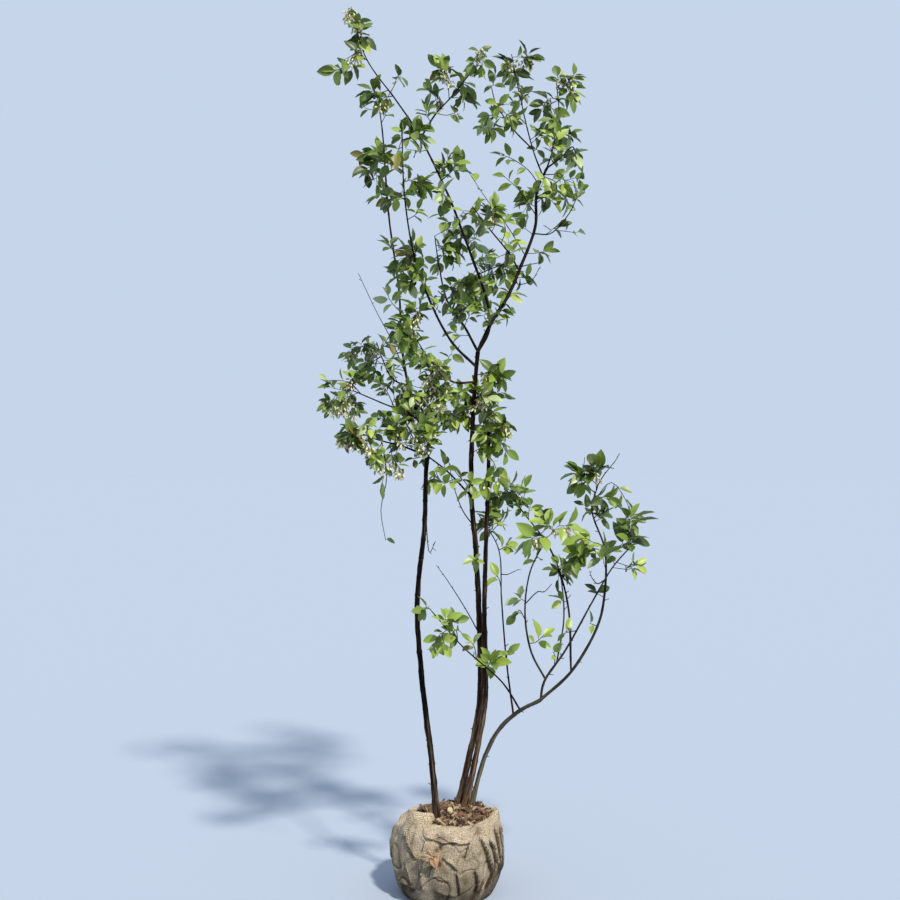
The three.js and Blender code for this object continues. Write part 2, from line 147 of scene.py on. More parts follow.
# Leafy shoots of their own: the limb each leaves, the share along it, its leaves, their shade and
# size, its clusters of blossom, and the places passed, in mm.
SHOOTS = [
    ("left_bough_front", 0.35, 8, "mid", 0.75, 2, [(-105, -105, 1015), (-125, -112, 1058)]),
    ("left_bough_front", 0.50, 8, "dark", 0.7, 3, [(-115, -125, 970), (-98, -118, 945)]),
    ("left_bough_front", 0.60, 5, "dark", 0.7, 2, [(-130, -142, 955), (-142, -145, 898)]),
    ("left_bough_front", 0.60, 1, "deep", 0.9, 0, [(-128, -130, 930), (-140, -135, 860), (-130, -138, 795)]),
    ("left_bough_front", 0.75, 8, "mid", 0.7, 2, [(-158, -150, 985), (-150, -150, 958)]),
    ("left_bough_back", 0.30, 8, "dark", 0.75, 2, [(-105, -30, 1055), (-128, -30, 1030)]),
    ("left_bough_back", 0.55, 8, "mid", 0.75, 1, [(-135, -15, 1120), (-150, -25, 1140)]),
    ("left_bough_back", 0.90, 6, "mid", 0.8, 0, [(-225, 40, 1142), (-280, 30, 1146)]),
    ("cross_bough", 0.50, 6, "mid", 0.8, 1, [(-25, -5, 930), (-42, -15, 912)]),
    ("cross_bough", 0.78, 9, "deep", 0.75, 2, [(-90, -20, 1045), (-108, -30, 1085)]),
    ("cross_bough", 0.95, 9, "mid", 0.75, 2, [(-128, -20, 1045), (-152, -25, 1062)]),
    ("stem_middle", 0.54, 6, "fresh", 0.7, 0, [(66, 15, 738), (58, -5, 742)]),
    ("stem_middle", 0.70, 5, "mid", 0.9, 0, [(55, 15, 915), (48, 5, 880)]),
    ("stem_middle", 0.84, 9, "dark", 0.85, 2, [(25, 10, 1060), (5, -5, 1052)]),
    ("stem_middle", 0.88, 9, "mid", 0.85, 2, [(35, 5, 1120), (18, -20, 1105)]),
    ("stem_right", 0.38, 9, "fresh", 1.15, 0, [(95, 0, 505), (98, -25, 520)]),
    ("stem_right", 0.80, 6, "fresh", 1.0, 1, [(88, 25, 925), (78, 5, 890)]),
    ("stem_right", 0.88, 7, "fresh", 1.0, 1, [(108, 30, 955), (118, 15, 915)]),
    ("stem_right", 0.96, 7, "mid", 1.0, 0, [(120, 40, 1010), (135, 30, 980)]),
    ("crossing_shoot", 0.55, 5, "pale", 0.9, 0, [(60, -95, 560), (50, -105, 575)]),
    ("crossing_shoot", 0.72, 7, "yellow", 0.9, 0, [(20, -110, 600), (8, -120, 590)]),
    ("crossing_shoot", 0.98, 8, "mid", 0.8, 0, [(-40, -130, 650), (-55, -130, 645)]),
    ("upright_shoot", 0.16, 4, "fresh", 0.9, 0, [(135, 10, 528), (138, -5, 535)]),
    ("upright_shoot", 0.55, 3, "fresh", 0.9, 0, [(120, 60, 690), (112, 50, 700)]),
    ("upright_shoot", 0.75, 6, "fresh", 0.9, 0, [(128, 70, 760), (142, 60, 770)]),
    ("upright_shoot", 0.90, 4, "yellow", 0.9, 0, [(110, 90, 815), (135, 85, 822)]),
    ("low_bough_left", 0.45, 3, "mid", 0.9, 0, [(158, -90, 640), (150, -95, 630)]),
    ("low_bough_left", 0.30, 5, "fresh", 1.0, 0, [(195, -75, 568), (212, -80, 585)]),
    ("low_bough_inner", 0.48, 3, "fresh", 0.8, 0, [(262, -50, 585), (268, -60, 592)]),
    ("low_bough_inner", 0.30, 2, "fresh", 0.8, 0, [(240, -30, 530), (235, -35, 540)]),
    ("low_bough_outer", 0.34, 2, "fresh", 0.8, 0, [(325, -20, 598), (318, -25, 602)]),
    ("low_bough_outer", 0.66, 7, "fresh", 1.25, 0, [(330, 20, 765), (300, 0, 772)]),
    ("low_bough_outer", 0.88, 11, "mid", 0.95, 0, [(381, 75, 912), (422, 68, 850), (424, 60, 800)]),
    ("right_bough", 0.55, 9, "fresh", 0.8, 0, [(140, 60, 1500), (91, 20, 1553), (29, -10, 1640)]),
    ("right_bough", 0.72, 6, "mid", 0.9, 0, [(170, 80, 1585), (130, 60, 1618)]),
    ("right_bough", 0.88, 8, "mid", 0.95, 0, [(190, 100, 1640), (150, 80, 1662), (122, 70, 1668)]),
    ("left_bough_front", 0.10, 9, "mid", 0.8, 2, [(-58, -100, 990), (-36, -112, 1012)]),
    ("left_bough_front", 0.16, 8, "dark", 0.75, 2, [(-70, -108, 1000), (-62, -118, 1032)]),
    ("left_bough_back", 0.10, 9, "fresh", 0.85, 1, [(-38, -88, 1010), (-22, -100, 1034)]),
    ("left_bough_back", 0.16, 8, "mid", 0.8, 2, [(-48, -92, 1030), (-44, -100, 1056)]),
]

# Clusters of blossom carried within each mass of foliage; the rest have none.
BLOSSOM = {
    "leaves_very_top": 3, "leaves_top_left": 1, "leaves_top_centre": 3, "leaves_top_middle": 1,
    "leaves_top_back": 2, "leaves_right_tip": 2, "leaves_far_left": 2, "leaves_left_front": 7,
    "leaves_left_back": 4, "leaves_heart_left": 13, "leaves_heart_right": 6, "leaves_front": 2,
    "leaves_low_back": 1, "leaves_low_middle": 2, "leaves_low_right": 1, "leaves_back_upper": 1,
    "leaves_inner_right": 1,
}

# Masses that differ from the rest: how thick with leaves they are, the share of their sprays that is
# fresh, and the size of their leaves.
TRAITS = {
    "leaves_heart_left": (3.6, 0.15, 0.75), "leaves_heart_right": (3.0, 0.4, 1.05),
    "leaves_front": (2.0, 0.2, 0.9), "leaves_centre": (1.6, 0.1, 0.95), "leaves_left_back": (2.2, 0, 0.75),
    "leaves_left_front": (2.4, 0.1, 0.72), "leaves_far_left": (1.5, 0, 0.75),
    "leaves_front_middle": (1.4, 0, 0.95), "leaves_low_front": (1, 1, 0.85),
    "leaves_low_middle": (0.75, 0.4, 1.15), "leaves_low_right": (1.1, 0.4, 1.15),
    "leaves_low_outer": (0.85, 0.3, 1.15), "leaves_low_inner": (0.85, 0.5, 1.1),
    "leaves_right_tip": (1.1, 0.2, 1.05), "leaves_fan": (0.9, 0.2, 0.95),
}


# ---- Materials ----

def linear(hex_colour):
    """An sRGB hex colour as the linear RGBA that a shader's socket takes."""
    channels = [int(hex_colour[i:i + 2], 16) / 255 for i in (1, 3, 5)]
    return [c / 12.92 if c <= 0.04045 else ((c + 0.055) / 1.055) ** 2.4 for c in channels] + [1]


def feed(node, inputs):
    """Gives a node's sockets, by name or number, plain values or links from other sockets."""
    for name, value in inputs.items():
        if isinstance(value, bpy.types.NodeSocket):
            node.id_data.links.new(value, node.inputs[name])
        else:
            node.inputs[name].default_value = value


def add(tree, kind, inputs=None, stops=(), **settings):
    """Adds a node with its settings and links; stops are a ramp's (place, hex colour) pairs."""
    node = tree.nodes.new(kind)
    for name, value in settings.items():
        setattr(node, name, value)
    feed(node, inputs or {})
    for index, (place, colour) in enumerate(stops):
        elements = node.color_ramp.elements
        element = elements[index] if index < len(elements) else elements.new(place)
        element.position = place
        element.color = linear(colour)
    return node


def new_material(name):
    """A fresh material, with its node tree and its shader."""
    material = bpy.data.materials.new(name)
    material.use_nodes = True
    tree = material.node_tree
    return material, tree, tree.nodes["Principled BSDF"]


def plain_material(name, colour, roughness, specular=0.5):
    """One even colour, for small things dealt out by spray."""
    material, _, shader = new_material(name)
    feed(shader, {"Base Color": linear(colour), "Roughness": roughness, "Specular IOR Level": specular})
    return material


STREAK_LENGTH = 15  # bark streaks, times their width


def bark_material(name, stops, peel_stops, strip_mm, peel_height_mm, roughness):
    """Bark that splits along the limb, in long streaks strip_mm wide.

    It turns paler where it has peeled, more and more below peel_height_mm. It reads the limb's
    straightened place, so the streaks follow every bend.
    """
    material, tree, shader = new_material(name)
    place = add(tree, "ShaderNodeAttribute", attribute_name="straight").outputs["Vector"]
    stretch = (1, 1, 1 / STREAK_LENGTH)
    along = add(tree, "ShaderNodeMapping", {"Vector": place, "Scale": stretch}).outputs["Vector"]
    streaks = add(tree, "ShaderNodeTexNoise", {"Vector": along, "Scale": 1 / (strip_mm * MM),
                                               "Detail": 5, "Roughness": 0.65}).outputs["Fac"]
    patches = add(tree, "ShaderNodeTexNoise", {"Vector": along, "Scale": 1 / (2.5 * strip_mm * MM),
                                               "Detail": 3, "Roughness": 0.6}).outputs["Fac"]
    height = add(tree, "ShaderNodeSeparateXYZ", {"Vector": place}).outputs["Z"]
    lower = add(tree, "ShaderNodeMapRange", {"Value": height, "From Min": 0, "To Max": 0,
                                             "From Max": peel_height_mm * MM, "To Min": 0.3})
    peeling = add(tree, "ShaderNodeMath", {0: patches, 1: lower.outputs["Result"]}, operation="ADD")
    amount = add(tree, "ShaderNodeMapRange", {"Value": peeling.outputs["Value"], "From Min": 0.56,
                                              "From Max": 0.76}).outputs["Result"]
    skin = add(tree, "ShaderNodeValToRGB", {"Fac": streaks}, stops).outputs["Color"]
    peeled = add(tree, "ShaderNodeValToRGB", {"Fac": streaks}, peel_stops).outputs["Color"]
    colour = add(tree, "ShaderNodeMixRGB", {"Fac": amount, "Color1": skin, "Color2": peeled})
    bump = add(tree, "ShaderNodeBump", {"Height": streaks, "Strength": 0.7, "Distance": 0.8 * MM})
    feed(shader, {"Base Color": colour.outputs["Color"], "Normal": bump.outputs["Normal"],
                  "Roughness": roughness, "Specular IOR Level": 0.06})
    return material


# Mature cane bark: chocolate brown, dry and matt, worn to tan strips towards the soil.
stem_bark = bark_material(
    "blueberry_cane_bark",
    [(0.3, "#050302"), (0.46, "#140c09"), (0.6, "#2c1d15"), (0.78, "#583d2c")],
    [(0.35, "#281d13"), (0.5, "#574331"), (0.7, "#917c63")],
    strip_mm=3, peel_height_mm=560, roughness=0.8)
# The left stem's bark: nearly black, still tight above, peeling only near the soil.
dark_stem_bark = bark_material(
    "blueberry_dark_cane_bark",
    [(0.3, "#030202"), (0.46, "#0a0806"), (0.6, "#17120e"), (0.78, "#352a21")],
    [(0.35, "#1c140f"), (0.5, "#3f3026"), (0.7, "#6f5f4f")],
    strip_mm=3, peel_height_mm=300, roughness=0.75)
# The older low limb: smooth grey-olive bark with fine dark splits.
grey_bark = bark_material(
    "blueberry_grey_bark",
    [(0.3, "#1c1a16"), (0.5, "#3f3b32"), (0.7, "#655f51")],
    [(0.35, "#38342b"), (0.6, "#726c5c")],
    strip_mm=2.5, peel_height_mm=300, roughness=0.7)
# The low limb's boughs: younger and darker, grey-brown.
low_bough_bark = bark_material(
    "blueberry_low_bough_bark",
    [(0.3, "#12110e"), (0.5, "#2c2922"), (0.7, "#4b4739")],
    [(0.35, "#28251f"), (0.6, "#5e5a49")],
    strip_mm=2.2, peel_height_mm=100, roughness=0.65)
# Two-year boughs: nearly black-brown and tight-barked.
young_bark = bark_material(
    "blueberry_young_bark",
    [(0.3, "#0a0807"), (0.5, "#18120f"), (0.7, "#30261f")],
    [(0.35, "#1b1512"), (0.6, "#45382b")],
    strip_mm=2, peel_height_mm=60, roughness=0.6)
# Last year's twigs: dark brown skin.
twig_skin = plain_material("blueberry_twig_skin", "#231b14", 0.55, 0.2)
# This spring's shoots: soft green skin.
shoot_skin = plain_material("blueberry_green_shoot", "#728538", 0.5)
# Leaf blades: smooth thin leaves with a slight waxy gloss, dealt out by spray from deep to fresh.
LEAF_SHADES = {
    "deep": ("#394a15", 19),
    "dark": ("#4d611d", 25),
    "mid": ("#667b2a", 25),
    "fresh": ("#829838", 16),
    "yellow": ("#9cad4c", 7),
    "pale": ("#9fae78", 5),
    "bronze": ("#766f32", 2),
}
leaf_blades = {shade: plain_material(f"blueberry_leaf_{shade}", colour, 0.42, 0.5)
               for shade, (colour, _) in LEAF_SHADES.items()}
# Leaf ribs and stalks: paler and softer than the blade.
leaf_rib = plain_material("blueberry_leaf_rib", "#93a455", 0.5, 0.3)
# Corollas: waxy cream bells.
corolla_cream = plain_material("blueberry_corolla_cream", "#dcd6b0", 0.45)
# Older corollas, browning before they drop.
corolla_faded = plain_material("blueberry_corolla_faded", "#a9946c", 0.6)
# Calyces and flower stalks: pale green.
calyx_green = plain_material("blueberry_calyx", "#949a5e", 0.55)
# Bud scales on the bare spurs: dry red-brown.
bud_scale = plain_material("blueberry_bud_scale", "#7a4630", 0.6)

THREAD_MM = 2.8  # jute thread spacing; real hessian is nearer 2 mm, drawn coarser so that it shows
STAIN_MM = 45  # damp blotches on the cloth
SLUB_MM = 3  # thick and thin stretches in a thread
CRUMB_MM = 4  # crumbs of soil
GRAIN_MM = 2  # grain of cut wood


def burlap_material():
    """Hessian: thick jute threads in a plain over-and-under weave, hairy, dry and dull.

    The wrap's own attributes darken it with painted shade in its creases, pits and pleats and towards its
    foot, and rust it round the knot.
    """
    material, tree, shader = new_material("jute_burlap")
    weave = add(tree, "ShaderNodeUVMap", uv_map="weave").outputs["UV"]
    sway = add(tree, "ShaderNodeTexNoise", {"Vector": weave, "Scale": 1 / 25, "Detail": 2})
    swayed = add(tree, "ShaderNodeVectorMath", {0: sway.outputs["Color"], 1: (8, 8, 0), 2: weave},
                 operation="MULTIPLY_ADD")
    threads = add(tree, "ShaderNodeVectorMath", {0: swayed.outputs["Vector"], 1: (math.pi / THREAD_MM,) * 3},
                  operation="MULTIPLY")
    parts = add(tree, "ShaderNodeSeparateXYZ", {"Vector": threads.outputs["Vector"]}).outputs
    wave_x = add(tree, "ShaderNodeMath", {0: parts["X"]}, operation="SINE").outputs["Value"]
    wave_y = add(tree, "ShaderNodeMath", {0: parts["Y"]}, operation="SINE").outputs["Value"]
    warp = add(tree, "ShaderNodeMath", {0: wave_x}, operation="ABSOLUTE").outputs["Value"]
    weft = add(tree, "ShaderNodeMath", {0: wave_y}, operation="ABSOLUTE").outputs["Value"]
    product = add(tree, "ShaderNodeMath", {0: wave_x, 1: wave_y}, operation="MULTIPLY").outputs["Value"]
    weft_over = add(tree, "ShaderNodeMath", {0: product, 1: 0}, operation="GREATER_THAN").outputs["Value"]
    height = add(tree, "ShaderNodeMix", {"Factor": weft_over, "A": warp, "B": weft}).outputs["Result"]
    stain = add(tree, "ShaderNodeTexNoise", {"Vector": weave, "Scale": 1 / STAIN_MM, "Detail": 4,
                                             "Roughness": 0.6}).outputs["Fac"]
    slub = add(tree, "ShaderNodeTexNoise", {"Vector": weave, "Scale": 1 / SLUB_MM, "Detail": 3,
                                            "Roughness": 0.7}).outputs["Fac"]
    raised = add(tree, "ShaderNodeMath", {0: slub, 1: 0.9, 2: -0.28}, operation="MULTIPLY_ADD")
    relief = add(tree, "ShaderNodeMath", {0: height, 1: 0.5, 2: raised.outputs["Value"]},
                 operation="MULTIPLY_ADD").outputs["Value"]
    thread_colour = add(tree, "ShaderNodeValToRGB", {"Fac": relief}, [
        (0.15, "#3a3127"), (0.35, "#857864"), (0.55, "#c6b9a4"), (0.8, "#f2eadb")]).outputs["Color"]
    stain_colour = add(tree, "ShaderNodeValToRGB", {"Fac": stain}, [
        (0.34, "#8a7c66"), (0.46, "#dfd4c1"), (0.6, "#fbf2e4"), (0.7, "#c4ac8c")]).outputs["Color"]
    stained = add(tree, "ShaderNodeMixRGB", {"Fac": 0.8, "Color1": thread_colour, "Color2": stain_colour},
                  blend_type="MULTIPLY").outputs["Color"]
    # Painted shade: the fold attribute mixes in dark brown along the creases and wrinkles, in the pits and
    # pleats, and towards the foot.
    painted_shade_mask = add(tree, "ShaderNodeAttribute", attribute_name="fold").outputs["Fac"]
    folded = add(tree, "ShaderNodeMixRGB", {"Fac": painted_shade_mask, "Color1": stained, "Color2": linear("#2c2218")})
    rust = add(tree, "ShaderNodeAttribute", attribute_name="rust").outputs["Fac"]
    colour = add(tree, "ShaderNodeMixRGB", {"Fac": rust, "Color1": folded.outputs["Color"],
                                            "Color2": linear("#bd9069")})
    bump = add(tree, "ShaderNodeBump", {"Height": relief, "Strength": 1, "Distance": 0.6 * MM})
    feed(shader, {"Base Color": colour.outputs["Color"], "Normal": bump.outputs["Normal"],
                  "Roughness": 0.95, "Specular IOR Level": 0.2})
    return material


def soil_material():
    """Dark potting soil between the chips: crumbly and matt."""
    material, tree, shader = new_material("mulched_soil")
    place = add(tree, "ShaderNodeTexCoord").outputs["Object"]
    crumbs = add(tree, "ShaderNodeTexNoise", {"Vector": place, "Scale": 1 / (CRUMB_MM * MM), "Detail": 6,
                                              "Roughness": 0.7}).outputs["Fac"]
    colour = add(tree, "ShaderNodeValToRGB", {"Fac": crumbs}, [
        (0.3, "#1f1710"), (0.55, "#463525"), (0.75, "#75593f")])
    bump = add(tree, "ShaderNodeBump", {"Height": crumbs, "Strength": 1, "Distance": 2 * MM})
    feed(shader, {"Base Color": colour.outputs["Color"], "Normal": bump.outputs["Normal"],
                  "Roughness": 0.95})
    return material


def cut_wood_material():
    """Freshly cut pale wood: a dry, open grain."""
    material, tree, shader = new_material("cut_cane_wood")
    place = add(tree, "ShaderNodeTexCoord").outputs["Object"]
    grain = add(tree, "ShaderNodeTexNoise", {"Vector": place, "Scale": 1 / (GRAIN_MM * MM), "Detail": 3})
    colour = add(tree, "ShaderNodeValToRGB", {"Fac": grain.outputs["Fac"]}, [
        (0.3, "#a3946c"), (0.7, "#cfc296")])
    feed(shader, {"Base Color": colour.outputs["Color"], "Roughness": 0.8})
    return material


jute_burlap = burlap_material()
mulched_soil = soil_material()
cut_wood = cut_wood_material()
# Single jute fibres, frayed from the cloth's edge.
jute_fibre = plain_material("jute_fibre", "#c9b68e", 0.9, 0.2)
# Bark mulch: dry split shreds in four red-browns.
CHIP_COLOURS = {"brown": "#66503c", "tan": "#a08a6a", "dark": "#35291f", "red": "#775642"}
chip_barks = {name: plain_material(f"mulch_chip_{name}", colour, 0.9)
              for name, colour in CHIP_COLOURS.items()}


# ---- Mesh helpers ----

def new_object(name, data):
    """Puts a mesh, light or camera in the scene."""
    holder = bpy.data.objects.new(name, data)
    bpy.context.scene.collection.objects.link(holder)
    return holder


def finish_piece(name, mesh, material, slot, *replaced, smooth=True):
    """Puts a mesh in the scene as a piece of the plant."""
    piece = new_object(name, mesh)
    mesh.materials.clear()
    mesh.materials.append(material)
    if smooth:
        mesh.shade_smooth()
    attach(piece, "root")
    if replaced:
        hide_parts(*replaced)
    return piece


def to_mesh(bm, name):
    """The bmesh as a mesh of its own."""
    mesh = bpy.data.meshes.new(name)
    bm.to_mesh(mesh)
    bm.free()
    return mesh


def curve_point(places, share):
    """A point on the smooth course through places, from 0 at the first to 1 at the last."""
    last = len(places) - 1
    at = min(max(share, 0), 1) * last
    index = min(int(at), last - 1)
    part = at - index
    near, far = places[index], places[index + 1]
    before = places[index - 1] if index > 0 else 2 * near - far
    after = places[index + 2] if index + 2 <= last else 2 * far - near
    leave = (far - before) / 2
    arrive = (after - near) / 2
    return (near + leave * part + (3 * (far - near) - 2 * leave - arrive) * part ** 2
            + (2 * (near - far) + leave + arrive) * part ** 3)


def path_length(places):
    """The length of the straight runs between places."""
    return sum((there - here).length for here, there in zip(places, places[1:]))


def heading_at(places, share, gap):
    """Which way a course runs at a share of it, measured over gap on each side."""
    return (curve_point(places, share + gap) - curve_point(places, share - gap)).normalized()


def any_side(direction):
    """A unit vector square to direction."""
    side = direction.cross(UP)
    if side.length < 0.05:
        side = direction.cross(Vector((1, 0, 0)))
    return side.normalized()


def outward(ahead, turn):
    """The direction square to ahead, at a turn round it."""
    side = any_side(ahead)
    return side * math.cos(turn) + ahead.cross(side) * math.sin(turn)


def wander(rng, size):
    """A random step, of about this size each way."""
    return Vector((rng.gauss(0, size), rng.gauss(0, size), rng.gauss(0, size)))


# ---- Limbs ----

courses = {}


def course_from(bearer, share, via):
    """The places that a limb or twig passes, from a share along the limb that bears it."""
    start = [curve_point(courses[bearer], share)] if bearer else []
    return start + [Vector(place) * MM for place in via]


for limb_name, (parent, along_parent, _, _, passed) in LIMBS.items():
    courses[limb_name] = course_from(parent, along_parent, passed)

SOIL_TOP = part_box("soil_cap")[1][2]
RING_GAP = 4 * MM  # between a limb's rings
RIDGE_MM = 3  # width of the bark's ridges
LUMP_MM = 11  # width of its slower swellings
NODE_SWELL = 0.14  # how far a limb swells where buds once sat
NODE_TURNS = 150  # how closely those follow one another, in radians a metre
FLARE = 0.45  # share by which a stem widens at the soil
FLARE_HEIGHT = 28 * MM


def limb_radius(name, share, height):
    """A limb's radius at a share of it; a stem flares where its height nears the soil."""
    parent, _, base, tip, _ = LIMBS[name]
    radius = (tip + (base - tip) * (1 - share)) / 2 * MM
    if parent is None:
        radius *= 1 + FLARE * math.exp(-max(height - SOIL_TOP, 0) / FLARE_HEIGHT)
    return radius


def bark_limb(name, material, slot, sides, relief):
    """One limb with its bark's relief: rings extruded one after another along its course."""
    places = courses[name]
    fine = [curve_point(places, i / 400) for i in range(401)]
    rings = max(8, int(path_length(fine) / RING_GAP))
    seed_place = Vector((hash_of(name), 3.1, 7.7))
    bm = bmesh.new()
    straight = bm.verts.layers.float_vector.new("straight")
    ring = bmesh.ops.create_circle(bm, cap_ends=True, segments=sides, radius=1)["verts"]
    side = any_side(fine[1] - fine[0])
    run = 0
    previous = None
    for step in range(rings + 1):
        share = step / rings
        centre = curve_point(places, share)
        ahead = heading_at(places, share, 0.004)
        side = (side - ahead * side.dot(ahead)).normalized()
        other = ahead.cross(side)
        if previous is not None:
            run += (centre - previous).length
            ring = extruded_ring(bm, ring)
        previous = centre
        radius = limb_radius(name, share, centre.z)
        swell = 1 + NODE_SWELL * max(0, math.sin(run * NODE_TURNS + seed_place.x * 9)) ** 24
        for index, vert in enumerate(ring):
            turn = index / sides * TURN
            spot = Vector((math.cos(turn), math.sin(turn)))
            local = Vector((spot.x * radius, spot.y * radius, run))
            grain = Vector((local.x, local.y, local.z * 0.12)) / (RIDGE_MM * MM) + seed_place
            coarse = Vector((local.x, local.y, local.z * 0.35)) / (LUMP_MM * MM) + seed_place
            bulge = swell + relief * noise.noise(grain) + relief * 1.1 * noise.noise(coarse)
            vert.co = centre + (side * spot.x + other * spot.y) * radius * bulge
            vert[straight] = local
    bmesh.ops.edgeloop_fill(bm, edges=ring_edges(ring))
    if LIMBS[name][0] is None:
        cut = bm.verts[:] + bm.edges[:] + bm.faces[:]
        made = bmesh.ops.bisect_plane(bm, geom=cut, plane_co=(0, 0, SOIL_TOP - 4 * MM),
                                      plane_no=(0, 0, -1), clear_outer=True)
        rim = [item for item in made["geom_cut"] if isinstance(item, bmesh.types.BMEdge)]
        bmesh.ops.edgeloop_fill(bm, edges=rim)
    bmesh.ops.recalc_face_normals(bm, faces=bm.faces)
    stands_for = [name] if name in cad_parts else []
    finish_piece(f"bark_{name}", to_mesh(bm, name), material, slot, *stands_for)


def hash_of(name):
    """A small steady number from a name."""
    return sum(ord(letter) * (i + 3) for i, letter in enumerate(name)) % 97 / 7


def ring_edges(ring):
    """The edges that join a ring's vertices, in order."""
    edges = []
    for here, there in zip(ring, ring[1:] + ring[:1]):
        edges.append(next(edge for edge in here.link_edges if edge.other_vert(here) == there))
    return edges


def extruded_ring(bm, ring):
    """Extrudes a ring of edges and returns the new ring in the same order."""
    made = bmesh.ops.extrude_edge_only(bm, edges=ring_edges(ring))["geom"]
    fresh = {item for item in made if isinstance(item, bmesh.types.BMVert)}
    return [next(edge.other_vert(old) for edge in old.link_edges if edge.other_vert(old) in fresh)
            for old in ring]


def make_limbs():
    """Every limb in the bark of its age."""
    for name in LIMBS:
        if name.startswith("stem"):
            bark = dark_stem_bark if name == "stem_left" else stem_bark
            bark_limb(name, bark, "stem_bark", 18, 0.16)
        elif name == "low_limb":
            bark_limb(name, grey_bark, "grey_bark", 14, 0.14)
        elif name.startswith("low"):
            bark_limb(name, low_bough_bark, "grey_bark", 12, 0.12)
        else:
            bark_limb(name, young_bark, "young_bark", 10, 0.12)


# ---- Growth: twigs, leaves and blossom, gathered here and built at the end ----

twig_runs = []  # (places, base radius, tip radius)
shoot_runs = []
stalk_runs = []
leaf_spots = {shade: [] for shade in LEAF_SHADES}  # (form, place, direction, facing, length)
bell_spots = []
faded_spots = []
calyx_spots = []
bud_spots = []

LEAF_FORMS = 8
LEAF_LENGTHS = (35, 50)  # mm, stalk and all
LEAF_GROWTH = 75 * MM  # length of a twig's leafy end
BELL_FORMS = 2
BELL_LENGTHS = (6.5, 8.8)  # mm
FADED_SHARE = 0.25  # of the bells
SPUR_GAP = 25 * MM  # mean distance between a bough's spurs
TIP_MARGIN = 32 * MM  # shoots end this far inside the plant's box, so that their leaves end at it
LIGHT = Vector((0.3, -0.5, 0.8)).normalized()  # leaves turn their faces this way


def lay_leaf(rng, shade, place, direction, length, facing):
    """One leaf, turned about its own length towards the way it faces."""
    direction = direction.normalized()
    face = facing + wander(rng, 0.42)
    face = face - direction * face.dot(direction)
    if face.length < 0.1:
        face = any_side(direction)
    leaf_spots[shade].append((rng.randrange(LEAF_FORMS), place, direction, face.normalized(), length))


def pick_shade(rng, fresh_share=0):
    """A spray's shade: fresh for that share of them, and else by the shades' weights."""
    if rng.random() < fresh_share:
        return rng.choice(("fresh", "yellow", "fresh", "mid"))
    return rng.choices(list(LEAF_SHADES), [weight for _, weight in LEAF_SHADES.values()])[0]


def leafy_run(rng, places, count, shade, bare_share, size):
    """Leaves set alternately along a shoot past its bare share, closing to a tuft at the tip."""
    turn = rng.uniform(0, TURN)
    for index in range(count):
        share = bare_share + (1 - bare_share) * (index + 0.5) / count
        place = curve_point(places, share)
        ahead = heading_at(places, share, 0.05)
        turn += GOLDEN_TURN + rng.gauss(0, 0.25)
        out = outward(ahead, turn)
        spread = math.radians(rng.uniform(48, 72) - 26 * (index / count) ** 2)
        direction = ahead * math.cos(spread) + out * math.sin(spread)
        direction += Vector((0, 0, rng.uniform(-0.35, 0.12)))
        length = rng.uniform(*LEAF_LENGTHS) * MM * size * (1 - 0.22 * abs(2 * index / count - 0.9))
        own = shade if rng.random() < 0.72 else pick_shade(rng)
        lay_leaf(rng, own, place, direction, length, LIGHT * 0.8 + ahead * 0.5)


def shoot(rng, start, heading, target, leaves, radius, shade, size):
    """A twig that leaves a limb, bends to its target and carries leaves on its outer part."""
    target = Vector([min(max(target[i], CAD_LOW[i] + TIP_MARGIN), CAD_HIGH[i] - TIP_MARGIN)
                     for i in range(3)])
    reach = (target - start).length
    middle = start + (target - start) * 0.5 + heading.normalized() * reach * 0.18 + wander(rng, reach * 0.06)
    late = start + (target - start) * 0.8 + heading.normalized() * reach * 0.08 + wander(rng, reach * 0.04)
    places = [start, start.lerp(middle, 0.55) + wander(rng, reach * 0.03), middle, late, target]
    twig_runs.append((places[:4], radius, radius * 0.65))
    shoot_runs.append((places[3:], radius * 0.65, 0.5 * MM))
    leafy = min(0.8, LEAF_GROWTH / max(reach, 1 * MM))
    leafy_run(rng, places, leaves, shade, 1 - leafy, size)
    return places


def raceme(rng, place, ahead, count):
    """A short hanging spray of bells on thin stalks."""
    ahead = (ahead + Vector((0, 0, -0.5)) + wander(rng, 0.25)).normalized()
    length = rng.uniform(12, 22) * MM
    tip = place + ahead * length + Vector((0, 0, -4 * MM))
    axis = [place, place.lerp(tip, 0.5) + wander(rng, 1.5 * MM), tip]
    stalk_runs.append((axis, 0.7 * MM, 0.5 * MM))
    for index in range(count):
        share = 0.25 + 0.75 * index / max(count - 1, 1)
        start = curve_point(axis, share)
        out = outward(ahead, index * GOLDEN_TURN) * 0.9
        hang = (out + Vector((0, 0, -1.1)) + wander(rng, 0.3)).normalized()
        neck = start + (out + hang).normalized() * rng.uniform(5, 8) * MM
        stalk_runs.append(([start, start.lerp(neck, 0.5) + out * 1.2 * MM, neck], 0.4 * MM, 0.35 * MM))
        size = rng.uniform(*BELL_LENGTHS) * MM
        form = rng.randrange(BELL_FORMS)
        spots = faded_spots if rng.random() < FADED_SHARE else bell_spots
        spots.append((form, neck, hang, any_side(hang), size))
        calyx_spots.append((0, neck, hang, any_side(hang), size))


def limb_sites():
    """Places along every limb, with its direction and radius there."""
    sites = []
    for name, places in courses.items():
        count = SITES_PER_STEP * (len(places) - 1)
        for step in range(int(count * BARE_FOOT), count + 1):
            share = step / count
            place = curve_point(places, share)
            sites.append((place, heading_at(places, share, 0.02), limb_radius(name, share, place.z)))
    return sites


